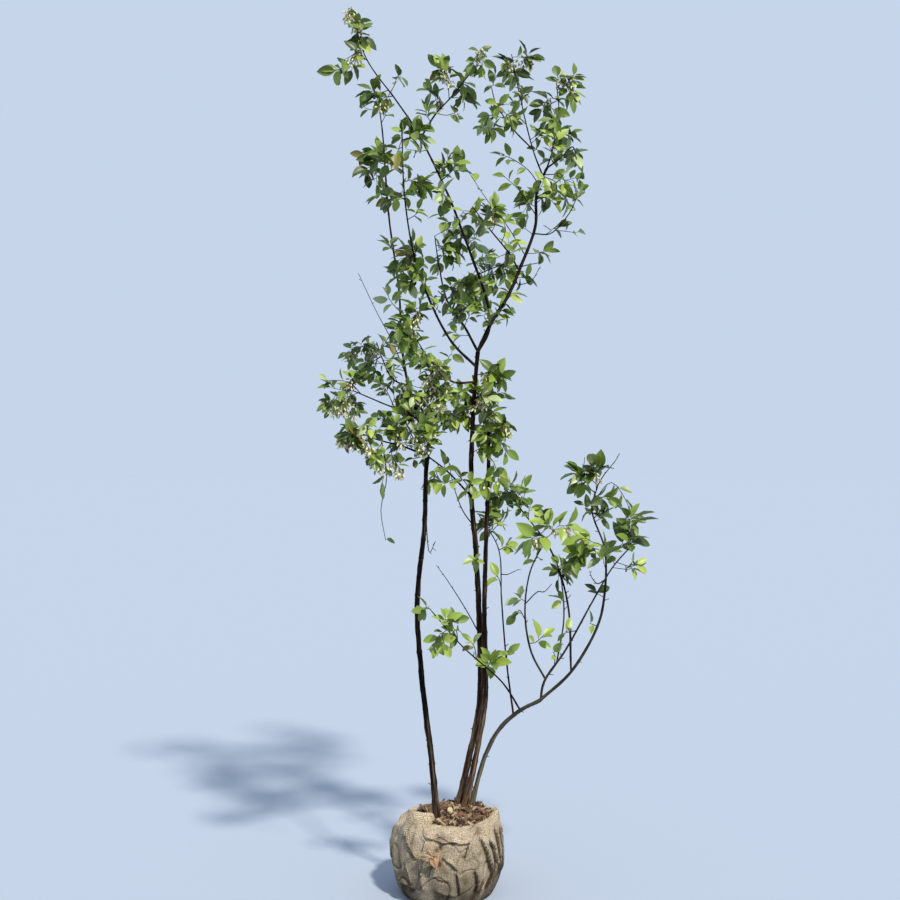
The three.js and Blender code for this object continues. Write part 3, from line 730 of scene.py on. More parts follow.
SITES_PER_STEP = 14  # from one of a limb's places to the next
BARE_FOOT = 0.08  # share of a limb, at its foot, that bears no twigs
SITES = limb_sites()
LEAF_AREA = 370 * MM * MM  # of a mass's outline, seen level, for each of its leaves
LEAF_REACH = 22 * MM  # how far leaves stand out past the shoots' tips
LEAVES_PER_SHOOT = 6
SHOOTS_PER_SPRAY = 3
SPRAY_SPREAD = 14 * MM  # how far apart the shoots of one spray end
NEAR_LIMBS = 18 * MM  # limbs this far outside a mass bear its shoots too
SHORTEST_SHOOT = 18 * MM


def fill_mass(name):
    """Replaces one mass of foliage by shoots that grow into it from the limbs that pass it."""
    rng = random.Random(name)
    low, high = (Vector(corner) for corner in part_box(name))
    middle = (low + high) / 2
    reach = (high - low) / 2
    inner = Vector([max(r - LEAF_REACH, 8 * MM) for r in reach])

    def away(place):
        offset = place - middle
        return math.sqrt(sum((offset[i] / (reach[i] + NEAR_LIMBS)) ** 2 for i in range(3)))

    near = sorted(SITES, key=lambda site: away(site[0]))
    inside = [site for site in near if away(site[0]) < 1.0]
    if len(inside) < 6:
        inside = near[:10]
    outline = math.pi * reach.z * (reach.x + reach.y) / 2
    thickness, fresh_share, leaf_size = TRAITS.get(name, (1, 0, 1))
    shoots = max(4, round(thickness * outline / LEAF_AREA / LEAVES_PER_SHOOT))
    blossoms = BLOSSOM.get(name, 0)
    sprays = max(2, round(shoots / SHOOTS_PER_SPRAY))
    centres, twigs = [], []
    for index in range(sprays):
        height = 1 - 2 * (index + 0.5) / sprays
        turn = index * GOLDEN_TURN + rng.uniform(-0.4, 0.4)
        flat = math.sqrt(1 - height * height)
        way = Vector((flat * math.cos(turn), flat * math.sin(turn), height))
        span = rng.uniform(0.55, 1.0)
        centres.append(middle + Vector([way[i] * inner[i] * span for i in range(3)]))
    for index in range(shoots):
        spray = index % sprays
        target = centres[spray] + wander(rng, SPRAY_SPREAD)
        if index < sprays:
            start, ahead, radius = min(
                inside, key=lambda site: (site[0] - target).length * rng.uniform(0.85, 1.3))
            thick = min(radius * 0.7, rng.uniform(1.0, 1.4) * MM)
        else:
            start = curve_point(twigs[spray], rng.uniform(0.25, 0.75))
            ahead = (target - start).normalized()
            thick = rng.uniform(0.7, 0.9) * MM
        if (target - start).length < SHORTEST_SHOOT:
            target = start + (target - middle + ahead * 20 * MM).normalized() * 22 * MM
        shade = pick_shade(rng, fresh_share)
        places = shoot(rng, start, ahead + UP * 0.5, target, rng.randint(4, 8), thick, shade,
                       rng.uniform(0.85, 1.08) * leaf_size)
        twigs.append(places)
        if index < blossoms:
            for share in (0.45, 0.7, 0.9):
                spot = curve_point(places, share)
                raceme(rng, spot, spot - middle, rng.randint(5, 9))


def leafy_share(name, height):
    """How likely a spur on this limb is to be in leaf."""
    if LIMBS[name][0] is None:
        return 0.0 if height < 0.98 else 0.45
    if name.startswith("low") or name in ("long_shoot", "upright_shoot", "crossing_shoot"):
        return 0.05 if height < 0.62 else 0.3
    return 0.55


def dress_boughs():
    """Short leafy spurs, bud spurs and dry stubs along the boughs between the masses."""
    for name, places in courses.items():
        rng = random.Random("spurs " + name)
        for _ in range(int(path_length(places) / SPUR_GAP)):
            share = rng.uniform(0.1, 1)
            place = curve_point(places, share)
            ahead = heading_at(places, share, 0.02)
            out = outward(ahead, rng.uniform(0, TURN))
            radius = limb_radius(name, share, place.z)
            start = place + out * radius * 0.6
            if rng.random() < leafy_share(name, place.z):
                reach = rng.uniform(16, 58) * MM
                target = start + (out + ahead * 0.5 + UP * 0.15).normalized() * reach
                shoot(rng, start, out, target, rng.randint(3, 7), 0.9 * MM, pick_shade(rng),
                      rng.uniform(0.75, 1.0))
            elif rng.random() < (0.2 if LIMBS[name][0] is None else 0.4):
                reach = rng.uniform(4, 10) * MM
                tip = start + (out + ahead * 0.6).normalized() * reach
                twig_runs.append(([start, start.lerp(tip, 0.5) + wander(rng, 0.6 * MM), tip],
                                  1.1 * MM, 0.7 * MM))
                bud_spots.append((0, tip - (tip - start).normalized() * MM, tip - start, any_side(ahead),
                                  rng.uniform(3.0, 4.6) * MM))


def own_shoots():
    """The leafy shoots listed one by one, and the blossom on the very tip."""
    for limb, share, leaves, shade, size, blossoms, via in SHOOTS:
        rng = random.Random(f"shoot {limb} {share} {leaves}")
        places = course_from(limb, share, via)
        twig_runs.append((places, 1.2 * MM, 0.6 * MM))
        leafy_run(rng, places, leaves, shade, 0.35 if leaves > 1 else 0.97, size)
        for _ in range(blossoms):
            spot = curve_point(places, rng.uniform(0.4, 1))
            raceme(rng, spot, places[-1] - places[0] + wander(rng, 30 * MM), rng.randint(5, 8))
    rng = random.Random("tip")
    tip = courses["centre_bough"][-1]
    top = tip + Vector((-6, -2, 32)) * MM
    spur = [tip, tip.lerp(top, 0.5) + Vector((-3, 0, 0)) * MM, top]
    twig_runs.append((spur, 1.0 * MM, 0.6 * MM))
    for share in (0.2, 0.45, 0.7, 0.9, 1.0):
        raceme(rng, curve_point(spur, share), Vector((rng.uniform(-1, 0.4), -0.3, 0.1)), 7)


def bare_twigs():
    """The bare twigs listed one by one, with short spurs to either side."""
    for limb, share, via in BARE_TWIGS:
        rng = random.Random(f"bare {limb} {share}")
        places = course_from(limb, share, via)
        twig_runs.append((places, 1.5 * MM, 0.7 * MM))
        for at in (0.35, 0.6, 0.8, 0.95):
            spot = curve_point(places, at)
            ahead = (places[-1] - places[0]).normalized()
            out = (any_side(ahead) * rng.choice((-1, 1)) + ahead * 0.8).normalized()
            tip = spot + out * rng.uniform(4, 12) * MM
            twig_runs.append(([spot, spot.lerp(tip, 0.5), tip], 0.8 * MM, 0.5 * MM))


# ---- Building what was gathered ----

def build_runs(name, runs, material, slot, fine=4):
    """All runs of one kind as round tapering twigs in one mesh."""
    curve = bpy.data.curves.new(name, "CURVE")
    curve.dimensions = "3D"
    curve.bevel_depth = 1
    curve.bevel_resolution = 1
    curve.use_fill_caps = True
    for places, base, tip in runs:
        steps = fine * (len(places) - 1)
        spline = curve.splines.new("POLY")
        spline.points.add(steps)
        for step in range(steps + 1):
            share = step / steps
            spline.points[step].co = curve_point(places, share).to_4d()
            spline.points[step].radius = base + (tip - base) * share
    holder = bpy.data.objects.new(name + "_curve", curve)
    bpy.context.scene.collection.objects.link(holder)
    bpy.context.view_layer.update()
    mesh = bpy.data.meshes.new_from_object(holder.evaluated_get(bpy.context.evaluated_depsgraph_get()))
    bpy.data.objects.remove(holder)
    bpy.data.curves.remove(curve)
    return finish_piece(name, mesh, material, slot)


def form_of(bm):
    """A template's points and faces, ready to be stamped."""
    bm.verts.index_update()
    points = [vert.co.copy() for vert in bm.verts]
    faces = [[vert.index for vert in face.verts] for face in bm.faces]
    bm.free()
    return points, faces


def stamped(name, forms, spots, material, slot, smooth=True):
    """Many small copies of a few forms, joined: each has a place, direction, facing and size."""
    points, faces = [], []
    for form, place, direction, facing, size in spots:
        form_points, form_faces = forms[form]
        direction = direction.normalized()
        facing = (facing - direction * facing.dot(direction)).normalized()
        turn = Matrix((direction, facing.cross(direction), facing)).transposed()
        start = len(points)
        points.extend(place + turn @ (point * size) for point in form_points)
        faces.extend([start + index for index in face] for face in form_faces)
    mesh = bpy.data.meshes.new(name)
    mesh.from_pydata(points, [], faces)
    mesh.update()
    return finish_piece(name, mesh, material, slot, smooth=smooth)


BLADE_START = 0.09  # the stalk's share of a leaf's length


def leaf_shape(share, width, fold, curl, side):
    """A point of a leaf of unit length: X along it, Y across, Z out of its face."""
    blade = max(share - BLADE_START, 0) / (1 - BLADE_START)
    half = width * math.sin(math.pi * blade ** 0.92) ** 0.8 if 0 < blade < 1 else 0
    lift = fold * abs(side) * half - 0.25 * fold * half * side * side
    return Vector((share * (1 - 0.12 * abs(curl)), side * half, lift - curl * share * share))


def leaf_forms():
    """Elliptic pointed leaves, folded along the rib and curled by different amounts."""
    rng = random.Random("leaf forms")
    blades, ribs = [], []
    for _ in range(LEAF_FORMS):
        width = rng.uniform(0.215, 0.27)
        fold = rng.uniform(0.15, 0.75)
        curl = rng.uniform(0.02, 0.26)
        bm = bmesh.new()
        bmesh.ops.create_grid(bm, x_segments=6, y_segments=4, size=1)
        for vert in bm.verts:
            share = BLADE_START + (1 - BLADE_START) * (vert.co.x + 1) / 2
            ripple = 0.012 * math.sin(share * 22 + vert.co.y * 2) * vert.co.y ** 2
            vert.co = leaf_shape(share, width, fold, curl, vert.co.y) + Vector((0, 0, ripple))
        bmesh.ops.remove_doubles(bm, verts=bm.verts, dist=1e-5)
        blades.append(form_of(bm))

        bm = bmesh.new()
        ring = bmesh.ops.create_circle(bm, cap_ends=True, segments=3, radius=1)["verts"]
        for step in range(5):
            share = step / 4 * 0.93
            if step:
                ring = extruded_ring(bm, ring)
            centre = leaf_shape(share, width, fold, curl, 0)
            thick = 0.017 * (1 - 0.7 * share)
            for index, vert in enumerate(ring):
                turn = index / 3 * TURN + math.pi / 6
                vert.co = centre + Vector((0, math.cos(turn) * thick, math.sin(turn) * thick - 0.3 * thick))
        bmesh.ops.edgeloop_fill(bm, edges=ring_edges(ring))
        bmesh.ops.recalc_face_normals(bm, faces=bm.faces)
        ribs.append(form_of(bm))
    return blades, ribs


def spun_form(profile, steps=6):
    """A small round form: a profile of (along, radius) spun about the X axis."""
    bm = bmesh.new()
    verts = [bm.verts.new((along, radius, 0)) for along, radius in profile]
    edges = [bm.edges.new(pair) for pair in zip(verts, verts[1:])]
    bmesh.ops.spin(bm, geom=verts + edges, cent=(0, 0, 0), axis=(1, 0, 0), angle=TURN,
                   steps=steps, use_merge=True, use_duplicate=False)
    bmesh.ops.remove_doubles(bm, verts=bm.verts, dist=1e-5)
    bmesh.ops.recalc_face_normals(bm, faces=bm.faces)
    return form_of(bm)


def bell_forms():
    """Urn-shaped corollas: round shoulders, a pinched mouth and a small flared lip."""
    slim = [(0.0, 0.0), (0.02, 0.17), (0.3, 0.26), (0.7, 0.23), (0.92, 0.14), (1.0, 0.19), (0.93, 0.1),
            (0.9, 0.0)]
    round_ = [(0.0, 0.0), (0.02, 0.2), (0.28, 0.33), (0.62, 0.29), (0.86, 0.15), (0.94, 0.2),
              (0.87, 0.11), (0.84, 0.0)]
    return [spun_form(slim), spun_form(round_)]


def calyx_form():
    """The green cup a bell hangs from."""
    return [spun_form([(-0.22, 0.0), (-0.2, 0.12), (-0.08, 0.22), (0.08, 0.3), (0.06, 0.2), (0.0, 0.0)], 5)]


def bud_form():
    """A pointed scaly bud."""
    return [spun_form([(0, 0), (0.02, 0.2), (0.4, 0.27), (0.8, 0.14), (1, 0)], 5)]


# ---- Root ball ----

SOIL_LOW, SOIL_HIGH = (Vector(corner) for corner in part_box("soil_cap"))
BALL_RADIUS = 125 * MM  # at its waist
BALL_FOOT = 96 * MM  # radius of its flat underside
BALL_WAIST = 84 * MM  # height at which it is widest
BALL_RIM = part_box("root_ball")[1][2] + 3 * MM
RIM_RADIUS = 110 * MM
SOIL_RADIUS = (SOIL_HIGH.x - SOIL_LOW.x) / 2
MOUTH_RADIUS = SOIL_RADIUS - 5 * MM
MOUTH = Vector(((SOIL_LOW.x + SOIL_HIGH.x) / 2, 0, 0))  # the middle of the opening round the soil
WRAP_STEPS = 480  # round the ball
ARC_ROWS = 80  # from the foot up to the waist, and again from there to the rim
TURNED_IN_ROWS = 10  # from the ball's edge in to the soil
CLOTH_SEED = 11  # settles where the creases and wrinkles wander

# Creases in the cloth, each from one (degrees from the front, height in mm) to another,
# with its width and depth in mm: the cloth on its left stands over the cloth on its right.
CREASES = [
    (-56, 158, -30, 98, 4, 8), (-30, 98, -26, 30, 5, 8), (-22, 148, -27, 112, 3, 6),
    (-14, 112, -18, 62, 4, 8), (-2, 112, 10, 84, 3, 7), (10, 84, 13, 28, 3.5, 9),
    (-14, 40, 10, 26, 4, 6), (-16, 74, 4, 60, 3, 3), (-24, 155, -2, 143, 3, 5),
    (-9, 143, 12, 147, 3, 6), (4, 148, 26, 137, 3, 6), (25, 145, 18, 104, 3, 6),
    (40, 150, 52, 58, 5, 10), (50, 140, 62, 74, 4, 9),
    (30, 84, 34, 22, 5, 9), (44, 58, 26, 8, 4, 8), (62, 92, 44, 24, 4, 8),
    (66, 164, 74, 40, 5, 8), (-62, 46, -34, 34, 5, 9), (-48, 92, -40, 40, 4, 7),
    (-72, 150, -66, 40, 6, 8), (86, 150, 82, 40, 5, 8), (100, 158, 112, 40, 6, 9),
    (122, 150, 118, 60, 4, 7), (135, 160, 128, 50, 5, 9), (150, 96, 142, 20, 5, 8),
    (165, 158, 172, 35, 6, 9), (-165, 158, -150, 60, 5, 9), (-150, 60, -158, 12, 4, 7),
    (-130, 156, -138, 30, 6, 9), (-118, 110, -112, 24, 4, 7), (-105, 160, -98, 60, 5, 8),
    (-88, 130, -92, 50, 4, 7),
]

CREASE_SHARPNESS = 0.8  # all their widths are scaled by this
CREASE_LIFT = 0.75  # and all their depths by this
CREASE_WAVE = 25 * MM  # the height over which they wander
CREASE_TAPER = 5  # they die out over one part in this many of their length, at each end
CREASE_SWAY = 3.5 * MM  # how far they wander from a straight course

# Where the rim's cloth is drawn up or in: degrees from the front, spread in degrees,
# then its rise and how far it reaches in over the soil, in mm.
RIM_SWELLS = [
    (-44, 9, 32, 30), (-92, 26, -20, 8), (-18, 14, -3, 3), (24, 26, -3, -7), (60, 12, 3, 8), (88, 6, 18, -7),
    (125, 20, 3, 8), (170, 46, -11, 18), (-128, 24, -6, 16),
]

KNOT_TURN = math.radians(-14)  # where the cloth is bunched and knotted
KNOT_HEIGHT = 116 * MM
RUST_REACH = 21 * MM  # how far the knot's rust stain spreads
WRINKLE_GAP = 46 * MM
WRINKLE_DEPTH = 3 * MM
FOOT_SHADE_HEIGHT = 150 * MM  # below this the cloth gets painted shade, darker towards its foot

# Pits where the cloth is drawn in round the knot, darkened with painted shade: degrees from the front,
# height and radius in mm.
PITS = [(-7, 132, 4), (-11, 127, 5), (-8, 99, 7), (-15, 94, 4), (-24, 104, 4), (-4, 108, 4)]


def ball_profile():
    """The ball's half outline, from the middle of its foot to the edge of its top."""
    points = [Vector((0, 0, 0)), Vector((BALL_FOOT * 0.5, 0, 0)), Vector((BALL_FOOT, 0, 0))]
    quarter = [step / ARC_ROWS * math.pi / 2 for step in range(1, ARC_ROWS + 1)]
    for turn in quarter:
        points.append(Vector((BALL_FOOT + (BALL_RADIUS - BALL_FOOT) * math.sin(turn), 0,
                              BALL_WAIST * (1 - math.cos(turn)))))
    for turn in quarter:
        points.append(Vector((RIM_RADIUS + (BALL_RADIUS - RIM_RADIUS) * math.cos(turn), 0,
                              BALL_WAIST + (BALL_RIM - BALL_WAIST) * math.sin(turn))))
    return points


def swing_from(degrees, turn):
    """Degrees to a turn round the ball from a direction, the short way round."""
    return (math.degrees(turn) - degrees + 180) % 360 - 180


def crease_at(turn, height):
    """How far the creases lift the cloth at a turn from the front, and how much painted shade their folds
    lay on it.
    """
    lift = 0
    shade = 0
    place = Vector((math.cos(turn) * 5, math.sin(turn) * 5, height / CREASE_WAVE))
    sway = CREASE_SWAY * noise.noise_vector(place)
    turn += sway.x / BALL_RADIUS
    height += sway.y
    degrees_to_mm = math.radians(1) * BALL_RADIUS / MM
    for turn_a, height_a, turn_b, height_b, width, depth in CREASES:
        run = Vector(((turn_b - turn_a) * degrees_to_mm, height_b - height_a))
        swing = swing_from(turn_a, turn)
        to = Vector((swing * degrees_to_mm, height / MM - height_a))
        share = max(0, min(1, to.dot(run) / run.length_squared))
        gap = to - run * share
        side = 1 if run.x * to.y - run.y * to.x > 0 else -1
        distance = gap.length * side / (width * CREASE_SHARPNESS)
        if abs(distance) > 6:
            continue
        fade = min(1, CREASE_TAPER * share, CREASE_TAPER * (1 - share))
        fade *= fade * (3 - 2 * fade)
        lift += depth * MM * fade * math.tanh(distance * 2.2) * math.exp(-(distance / 2.4) ** 2)
        # Painted shade: a dark line down each crease, where its fold would lie in shadow.
        shade = max(shade, fade * math.exp(-((distance + 0.25) / 0.42) ** 2))
    return lift, shade


def cloth_offset(turn, height):
    """How far the cloth bulges out over the packed soil, apart from its creases."""
    place = Vector((math.cos(turn), math.sin(turn), height * 6))
    offset = 5 * MM * noise.noise(place * 1.9)
    offset += 2.4 * MM * noise.noise(Vector((place.x * 7, place.y * 7, place.z * 1.6)))
    gathered = max(0, (height - 0.6 * BALL_RIM) / BALL_RIM)
    return offset + gathered * 7 * MM * math.cos(turn * 13 + 2 * math.sin(turn * 3))


def wrinkle_at(turn, height):
    """How sharply the cloth is crumpled at a place, from 0 to 1 along the bottom of a wrinkle."""
    place = Vector((math.cos(turn) * 3.4, math.sin(turn) * 3.4, height / WRINKLE_GAP))
    place += 0.5 * noise.noise_vector(place * 0.8)
    ridge = 1 - abs(noise.noise(place)) * 2
    return max(0, (ridge - 0.8) / 0.2)


def pit_at(turn, height):
    """How deep in one of the knot's pits a place is, from 0 to 1: it presses the cloth in and sets their
    painted shade.
    """
    depth = 0
    for degrees, middle, radius in PITS:
        aside = (math.degrees(turn) - degrees) * math.radians(1) * BALL_RADIUS
        depth = max(depth, math.exp(-(aside ** 2 + (height - middle * MM) ** 2) / (radius * MM) ** 2))
    return depth


def rim_swell(turn):
    """How far the rim's cloth stands up, and in over the soil, at a turn from the front."""
    rise, inward = 0, 0
    for degrees, spread, up, over in RIM_SWELLS:
        weight = math.exp(-(swing_from(degrees, turn) / spread) ** 2)
        rise += up * MM * weight
        inward += over * MM * weight
    return rise, inward


def around(turn):
    """The level direction at a turn from the front."""
    return Vector((math.sin(turn), -math.cos(turn), 0))


def burlap_wrap():
    """The cloth that wraps the ball: creased down its side, and turned in round the soil."""
    noise.seed_set(CLOTH_SEED)
    bm = bmesh.new()
    along, inner, fold, rust = (bm.verts.layers.float.new(layer)
                                for layer in ("along", "inner", "fold", "rust"))
    verts = []
    profile = ball_profile()
    for point in profile + [profile[-1].copy() for _ in range(TURNED_IN_ROWS)]:
        verts.append(bm.verts.new(point))
        step = len(verts) - len(profile)
        verts[-1][inner] = max(step, 0) / TURNED_IN_ROWS
        verts[-1].co.x -= max(step, 0) * 3 * MM
        if len(verts) > 1:
            verts[-1][along] = verts[-2][along] + (verts[-1].co - verts[-2].co).length
    hidden = bm.verts.new((0, 0, BALL_RIM - 14 * MM))
    hidden[inner] = 2
    verts.append(hidden)
    edges = [bm.edges.new(pair) for pair in zip(verts, verts[1:])]
    bmesh.ops.spin(bm, geom=verts + edges, cent=(0, 0, 0), axis=(0, 0, 1), angle=TURN, steps=WRAP_STEPS,
                   use_merge=True, use_duplicate=False)
    bmesh.ops.remove_doubles(bm, verts=bm.verts, dist=1e-6)
    weave = bm.loops.layers.uv.new("weave")
    for face in bm.faces:
        turns = [math.atan2(loop.vert.co.x, -loop.vert.co.y) for loop in face.loops]
        wraps = max(turns) - min(turns) > math.pi
        for loop, turn in zip(face.loops, turns):
            turn = turn + TURN if wraps and turn < 0 else turn
            loop[weave].uv = (turn * RIM_RADIUS / MM, loop.vert[along] / MM)
    knot = around(KNOT_TURN) * BALL_RADIUS + UP * KNOT_HEIGHT
    for vert in bm.verts:
        if vert.co.z < 1e-6 or vert[inner] > 1.5:
            continue
        turn = math.atan2(vert.co.x, -vert.co.y)
        out = around(turn)
        height = vert.co.z
        rise, inward = rim_swell(turn)
        lift, shade = crease_at(turn, height)
        settle = min(1, height / (25 * MM))
        near_rim = max(0, (height / BALL_RIM - 0.7) / 0.3) ** 1.3
        wrinkle = wrinkle_at(turn, height)
        pit = pit_at(turn, height)
        pressed = WRINKLE_DEPTH * (wrinkle + pit)
        offset = (cloth_offset(turn, height) + CREASE_LIFT * lift - pressed) * settle - 1.5 * MM
        edge = out * (RIM_RADIUS + offset) + UP * (BALL_RIM + rise)
        mouth = MOUTH + out * (MOUTH_RADIUS - inward) + UP * (SOIL_TOP + 2 * MM + rise * 0.35)
        if vert[inner] > 0:
            share = vert[inner]
            ruffle = noise.noise(Vector((out.x * 6, out.y * 6, share * 2)))
            vert.co = edge.lerp(mouth, share) + UP * 3.5 * MM * ruffle * math.sin(share * math.pi)
            vert.co.z -= 9 * MM * max(0, share - 0.8) / 0.2
        else:
            vert.co += out * offset + UP * rise * near_rim
            # Painted shade: the cloth darkens towards the ball's foot, where it curves under, in uneven
            # patches.
            foot_shade = max(0, 1 - height / FOOT_SHADE_HEIGHT) * (0.9 + 0.9 * noise.noise(out * 4))
            # Painted shade: the fold attribute darkens the cloth along its creases and wrinkles, in the
            # knot's pits and towards its foot.
            vert[fold] = min(0.94, 0.85 * shade + 0.25 * wrinkle + foot_shade + 0.9 * pit)
        vert[rust] = 0.4 * math.exp(-((vert.co - knot).length / RUST_REACH) ** 2)
    bmesh.ops.recalc_face_normals(bm, faces=bm.faces)
    finish_piece("burlap_wrap", to_mesh(bm, "burlap_wrap"), jute_burlap, "burlap", "root_ball")


# The knot's bunched ends: degrees round the knot, length, thickness and stand-out in mm, and rust.
KNOT_LOBES = [
    (177, 36, 9, 6, 0.3), (230, 36, 9, 3, 0.05), (90, 10, 11, 16, 0.7), (-58, 29, 10, 13, 0.8),
    (25, 20, 7, 7, 0.25), (118, 22, 7, 5, 0.15), (197, 26, 7, 10, 0.55),
]


def knot_lobe(bm, place, way, out, length, thick, rusted):
    """One pleated end of bunched cloth, drawn to a point."""
    rust = bm.verts.layers.float["rust"]
    fold = bm.verts.layers.float["fold"]
    weave = bm.loops.layers.uv["weave"]
    sides, steps, pleats = 20, 10, 5
    across = way.cross(out)
    before = set(bm.faces)
    ring = bmesh.ops.create_circle(bm, cap_ends=True, segments=sides, radius=1)["verts"]
    for step in range(steps + 1):
        share = step / steps
        if step:
            ring = extruded_ring(bm, ring)
        radius = thick * (0.35 + 0.75 * math.sin(math.pi * share ** 0.8)) * (1 - 0.75 * share ** 3)
        for index, vert in enumerate(ring):
            turn = index / sides * TURN
            ridge = math.cos(pleats * turn + 2.5 * share)
            pleat = 1 + 0.3 * ridge
            vert.co = place + way * length * share + (across * math.cos(turn)
                                                      + out * math.sin(turn) * 0.75) * radius * pleat
            # Painted light: the rust stain is real, but its swing with the pleats, fullest on their crests,
            # stands in for light there; the fold attribute lays painted shade in their troughs.
            vert[rust] = rusted * (0.75 + 0.25 * ridge)
            vert[fold] = max(0, 0.5 - 0.6 * ridge) * 0.85 * (1 - 0.5 * share)
    bmesh.ops.edgeloop_fill(bm, edges=ring_edges(ring))
    for face in set(bm.faces) - before:
        for loop in face.loops:
            loop[weave].uv = ((loop.vert.co - place).dot(across) / MM, (loop.vert.co - place).dot(way) / MM)


def burlap_knot():
    """Where the cloth's corners are bunched and tied off at the front."""
    out = around(KNOT_TURN)
    across = UP.cross(out).normalized()
    middle = out * (BALL_RADIUS + 3 * MM) + UP * KNOT_HEIGHT
    bm = bmesh.new()
    bm.verts.layers.float.new("rust")
    bm.verts.layers.float.new("fold")
    bm.loops.layers.uv.new("weave")
    for degrees, length, thick, stand, rusted in KNOT_LOBES:
        turn = math.radians(degrees)
        way = (across * math.cos(turn) + UP * math.sin(turn) + out * stand / length).normalized()
        knot_lobe(bm, middle - way * 3 * MM, way, out, length * MM, thick * MM, rusted)
    bmesh.ops.recalc_face_normals(bm, faces=bm.faces)
    finish_piece("burlap_knot", to_mesh(bm, "burlap_knot"), jute_burlap, "burlap")


FIBRES = 90
CORNER_FIBRES = 22  # of them, at the cloth's drawn-up corner
CORNER_TURN = math.radians(86)


def frayed_fibres():
    """Loose jute fibres along the cloth's turned edge, thickest at its drawn-up corner."""
    rng = random.Random("fray")
    runs = []
    for index in range(FIBRES):
        turn = rng.gauss(CORNER_TURN, 0.09) if index < CORNER_FIBRES else rng.uniform(0, TURN)
        rise, inward = rim_swell(turn)
        share = rng.uniform(0, 1)
        edge = around(turn) * (RIM_RADIUS - 3 * MM) + UP * (BALL_RIM + rise - 2 * MM)
        mouth = MOUTH + around(turn) * (MOUTH_RADIUS - inward) + UP * (SOIL_TOP + rise * 0.35)
        start = edge.lerp(mouth, share)
        tip = start + (UP * rng.uniform(2, 9) + wander(rng, 5)) * MM
        runs.append(([start, start.lerp(tip, 0.5) + wander(rng, 1.6 * MM), tip], 0.45 * MM, 0.25 * MM))
    build_runs("frayed_fibres", runs, jute_fibre, "burlap", fine=2)


def mulch_bed():
    """The lumpy soil in the ball's mouth, mounded up on its right round the stems."""
    bm = bmesh.new()
    bmesh.ops.create_circle(bm, cap_ends=True, cap_tris=True, segments=48, radius=SOIL_RADIUS + 2 * MM)
    bmesh.ops.subdivide_edges(bm, edges=bm.edges, cuts=5, use_grid_fill=True)
    for vert in bm.verts:
        vert.co += MOUTH
        vert.co.z = soil_height(vert.co)
    bmesh.ops.recalc_face_normals(bm, faces=bm.faces)
    finish_piece("mulch_bed", to_mesh(bm, "mulch_bed"), mulched_soil, "soil", "soil_cap")


def soil_height(place):
    """The soil's own height at a place: lumpy, with a low mound on its right."""
    mound = math.exp(-((place.x - 48 * MM) ** 2 + (place.y - 12 * MM) ** 2) / (42 * MM) ** 2)
    level = Vector((place.x, place.y, 0))
    return SOIL_TOP - 4 * MM + 12 * MM * mound + 4 * MM * noise.noise(level * 40)


CHIPS = 1000
CHIP_FORMS = 6
CHIP_LENGTHS = (7, 24)  # mm
CHIP_WEIGHTS = (5, 4, 4, 3)  # how many are of each colour, in the colours' order


def chip_forms():
    """Split bark chips: flat slivers, bevelled and twisted."""
    rng = random.Random("chips")
    forms = []
    for _ in range(CHIP_FORMS):
        bm = bmesh.new()
        bmesh.ops.create_cube(bm, size=1)
        bmesh.ops.scale(bm, vec=(1, rng.uniform(0.08, 0.3), rng.uniform(0.05, 0.13)), verts=bm.verts)
        for vert in bm.verts:
            vert.co += wander(rng, 0.06)
        bmesh.ops.recalc_face_normals(bm, faces=bm.faces)
        forms.append(form_of(bm))
    return forms


def mulch_chips():
    """Loose bark chips, strewn over the soil in four colours."""
    rng = random.Random("mulch")
    spots = {name: [] for name in CHIP_COLOURS}
    for _ in range(CHIPS):
        turn = rng.uniform(0, TURN)
        radius = (MOUTH_RADIUS - min(rim_swell(turn)[1], 0)) * math.sqrt(rng.random())
        place = MOUTH + around(turn) * radius
        place.z = soil_height(place) + rng.uniform(-1, 6) * MM
        direction = Vector((rng.gauss(0, 1), rng.gauss(0, 1), rng.gauss(0, 0.55)))
        facing = UP + wander(rng, 0.5)
        size = rng.uniform(*CHIP_LENGTHS) * MM
        colour = rng.choices(list(CHIP_COLOURS), CHIP_WEIGHTS)[0]
        spots[colour].append((rng.randrange(CHIP_FORMS), place, direction, facing, size))
    forms = chip_forms()
    for colour, placed in spots.items():
        stamped(f"mulch_chips_{colour}", forms, placed, chip_barks[colour], "soil", smooth=False)


def cut_stub():
    """A pruned cane: a short stub with a pale sawn face, leaning to the front."""
    foot = Vector((9, -6, 166)) * MM
    lean = Vector((-0.1, -0.75, 1)).normalized()
    bm = bmesh.new()
    length = 26 * MM
    bmesh.ops.create_cone(bm, cap_ends=True, segments=20, radius1=7.5 * MM, radius2=5.6 * MM, depth=length)
    top = [face for face in bm.faces if face.normal.z > 0.9]
    bmesh.ops.inset_region(bm, faces=top, thickness=0.6 * MM)
    place = Matrix.Translation(foot + lean * length / 2) @ lean.to_track_quat("Z", "Y").to_matrix().to_4x4()
    bmesh.ops.transform(bm, matrix=place, verts=bm.verts)
    finish_piece("cut_stub", to_mesh(bm, "cut_stub"), cut_wood, "stem_bark")


# ---- Floor, light and camera ----

SKY_COLOUR = "#c6d5ea"
FLOOR_RADIUS = 40
KEY_FROM = Vector((0.9, -1.5, 2.2))
CAMERA_PLACE = (0.007, -2.584, 0.987)
LENS_MM = 46


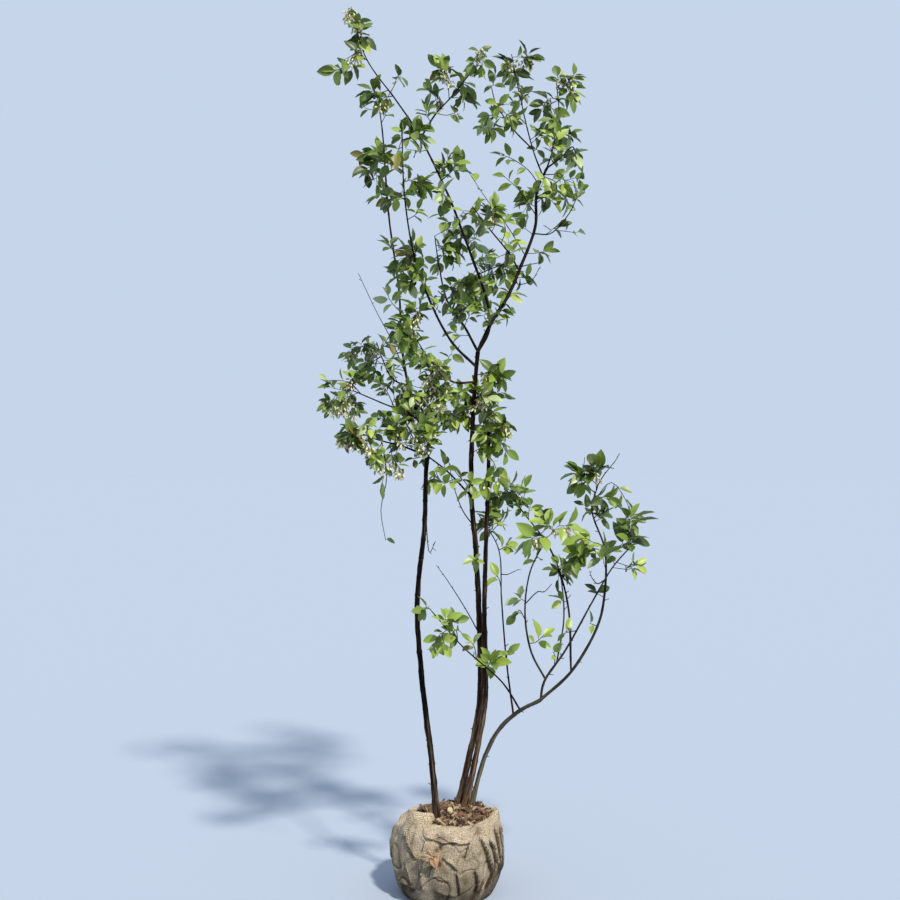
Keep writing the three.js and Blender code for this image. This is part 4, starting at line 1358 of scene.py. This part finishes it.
def set_stage():
    """A pale floor under an even pale sky, with one soft key from the front right.

    The floor's albedo is such that sky and key together light it as bright as the sky itself.
    """
    bm = bmesh.new()
    bmesh.ops.create_circle(bm, cap_ends=True, segments=96, radius=FLOOR_RADIUS)
    bmesh.ops.translate(bm, vec=(0, 0, -0.5 * MM), verts=bm.verts)
    floor = new_object("floor", to_mesh(bm, "floor"))
    floor.data.materials.append(plain_material("pale_floor", "#a3adbb", 0.95, 0.0))

    bpy.context.scene.view_settings.view_transform = "Standard"
    world = bpy.data.worlds.new("studio")
    bpy.context.scene.world = world
    world.use_nodes = True
    sky = world.node_tree.nodes["Background"]
    sky.inputs["Color"].default_value = linear(SKY_COLOUR)
    sky.inputs["Strength"].default_value = 1.0

    key = bpy.data.lights.new("key_light", "SUN")
    key.energy = 4.0
    key.angle = math.radians(5)
    key.color = linear("#fff8ec")[:3]
    holder = new_object("key_light", key)
    holder.rotation_euler = KEY_FROM.to_track_quat("Z", "Y").to_euler()


def set_camera():
    """A level camera at half the plant's height, close enough to look down on the ball."""
    camera = bpy.data.cameras.new("camera")
    camera.lens = LENS_MM
    holder = new_object("camera", camera)
    holder.location = CAMERA_PLACE
    holder.rotation_euler = (math.pi / 2, 0, 0)
    bpy.context.scene.camera = holder


# ---- Making the plant ----

set_camera()
set_stage()
make_limbs()
burlap_wrap()
burlap_knot()
frayed_fibres()
mulch_bed()
mulch_chips()
cut_stub()

masses = sorted(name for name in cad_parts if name.startswith("leaves_"))
for mass_name in masses:
    fill_mass(mass_name)
dress_boughs()
own_shoots()
bare_twigs()

twigs = build_runs("twigs", twig_runs, twig_skin, "young_bark")
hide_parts(*masses)
build_runs("green_shoots", shoot_runs, shoot_skin, "leaves", fine=3)
build_runs("flower_stalks", stalk_runs, calyx_green, "leaves", fine=1)
blade_forms, rib_forms = leaf_forms()
for shade_name, placed in leaf_spots.items():
    stamped(f"leaves_{shade_name}", blade_forms, placed, leaf_blades[shade_name], "leaves")
all_leaves = [spot for placed in leaf_spots.values() for spot in placed]
stamped("leaf_ribs", rib_forms, all_leaves, leaf_rib, "leaves")
stamped("blossom_bells", bell_forms(), bell_spots, corolla_cream, "leaves")
stamped("blossom_faded", bell_forms(), faded_spots, corolla_faded, "leaves")
stamped("calyx_cups", calyx_form(), calyx_spots, calyx_green, "leaves")
stamped("buds", bud_form(), bud_spots, bud_scale, "young_bark")
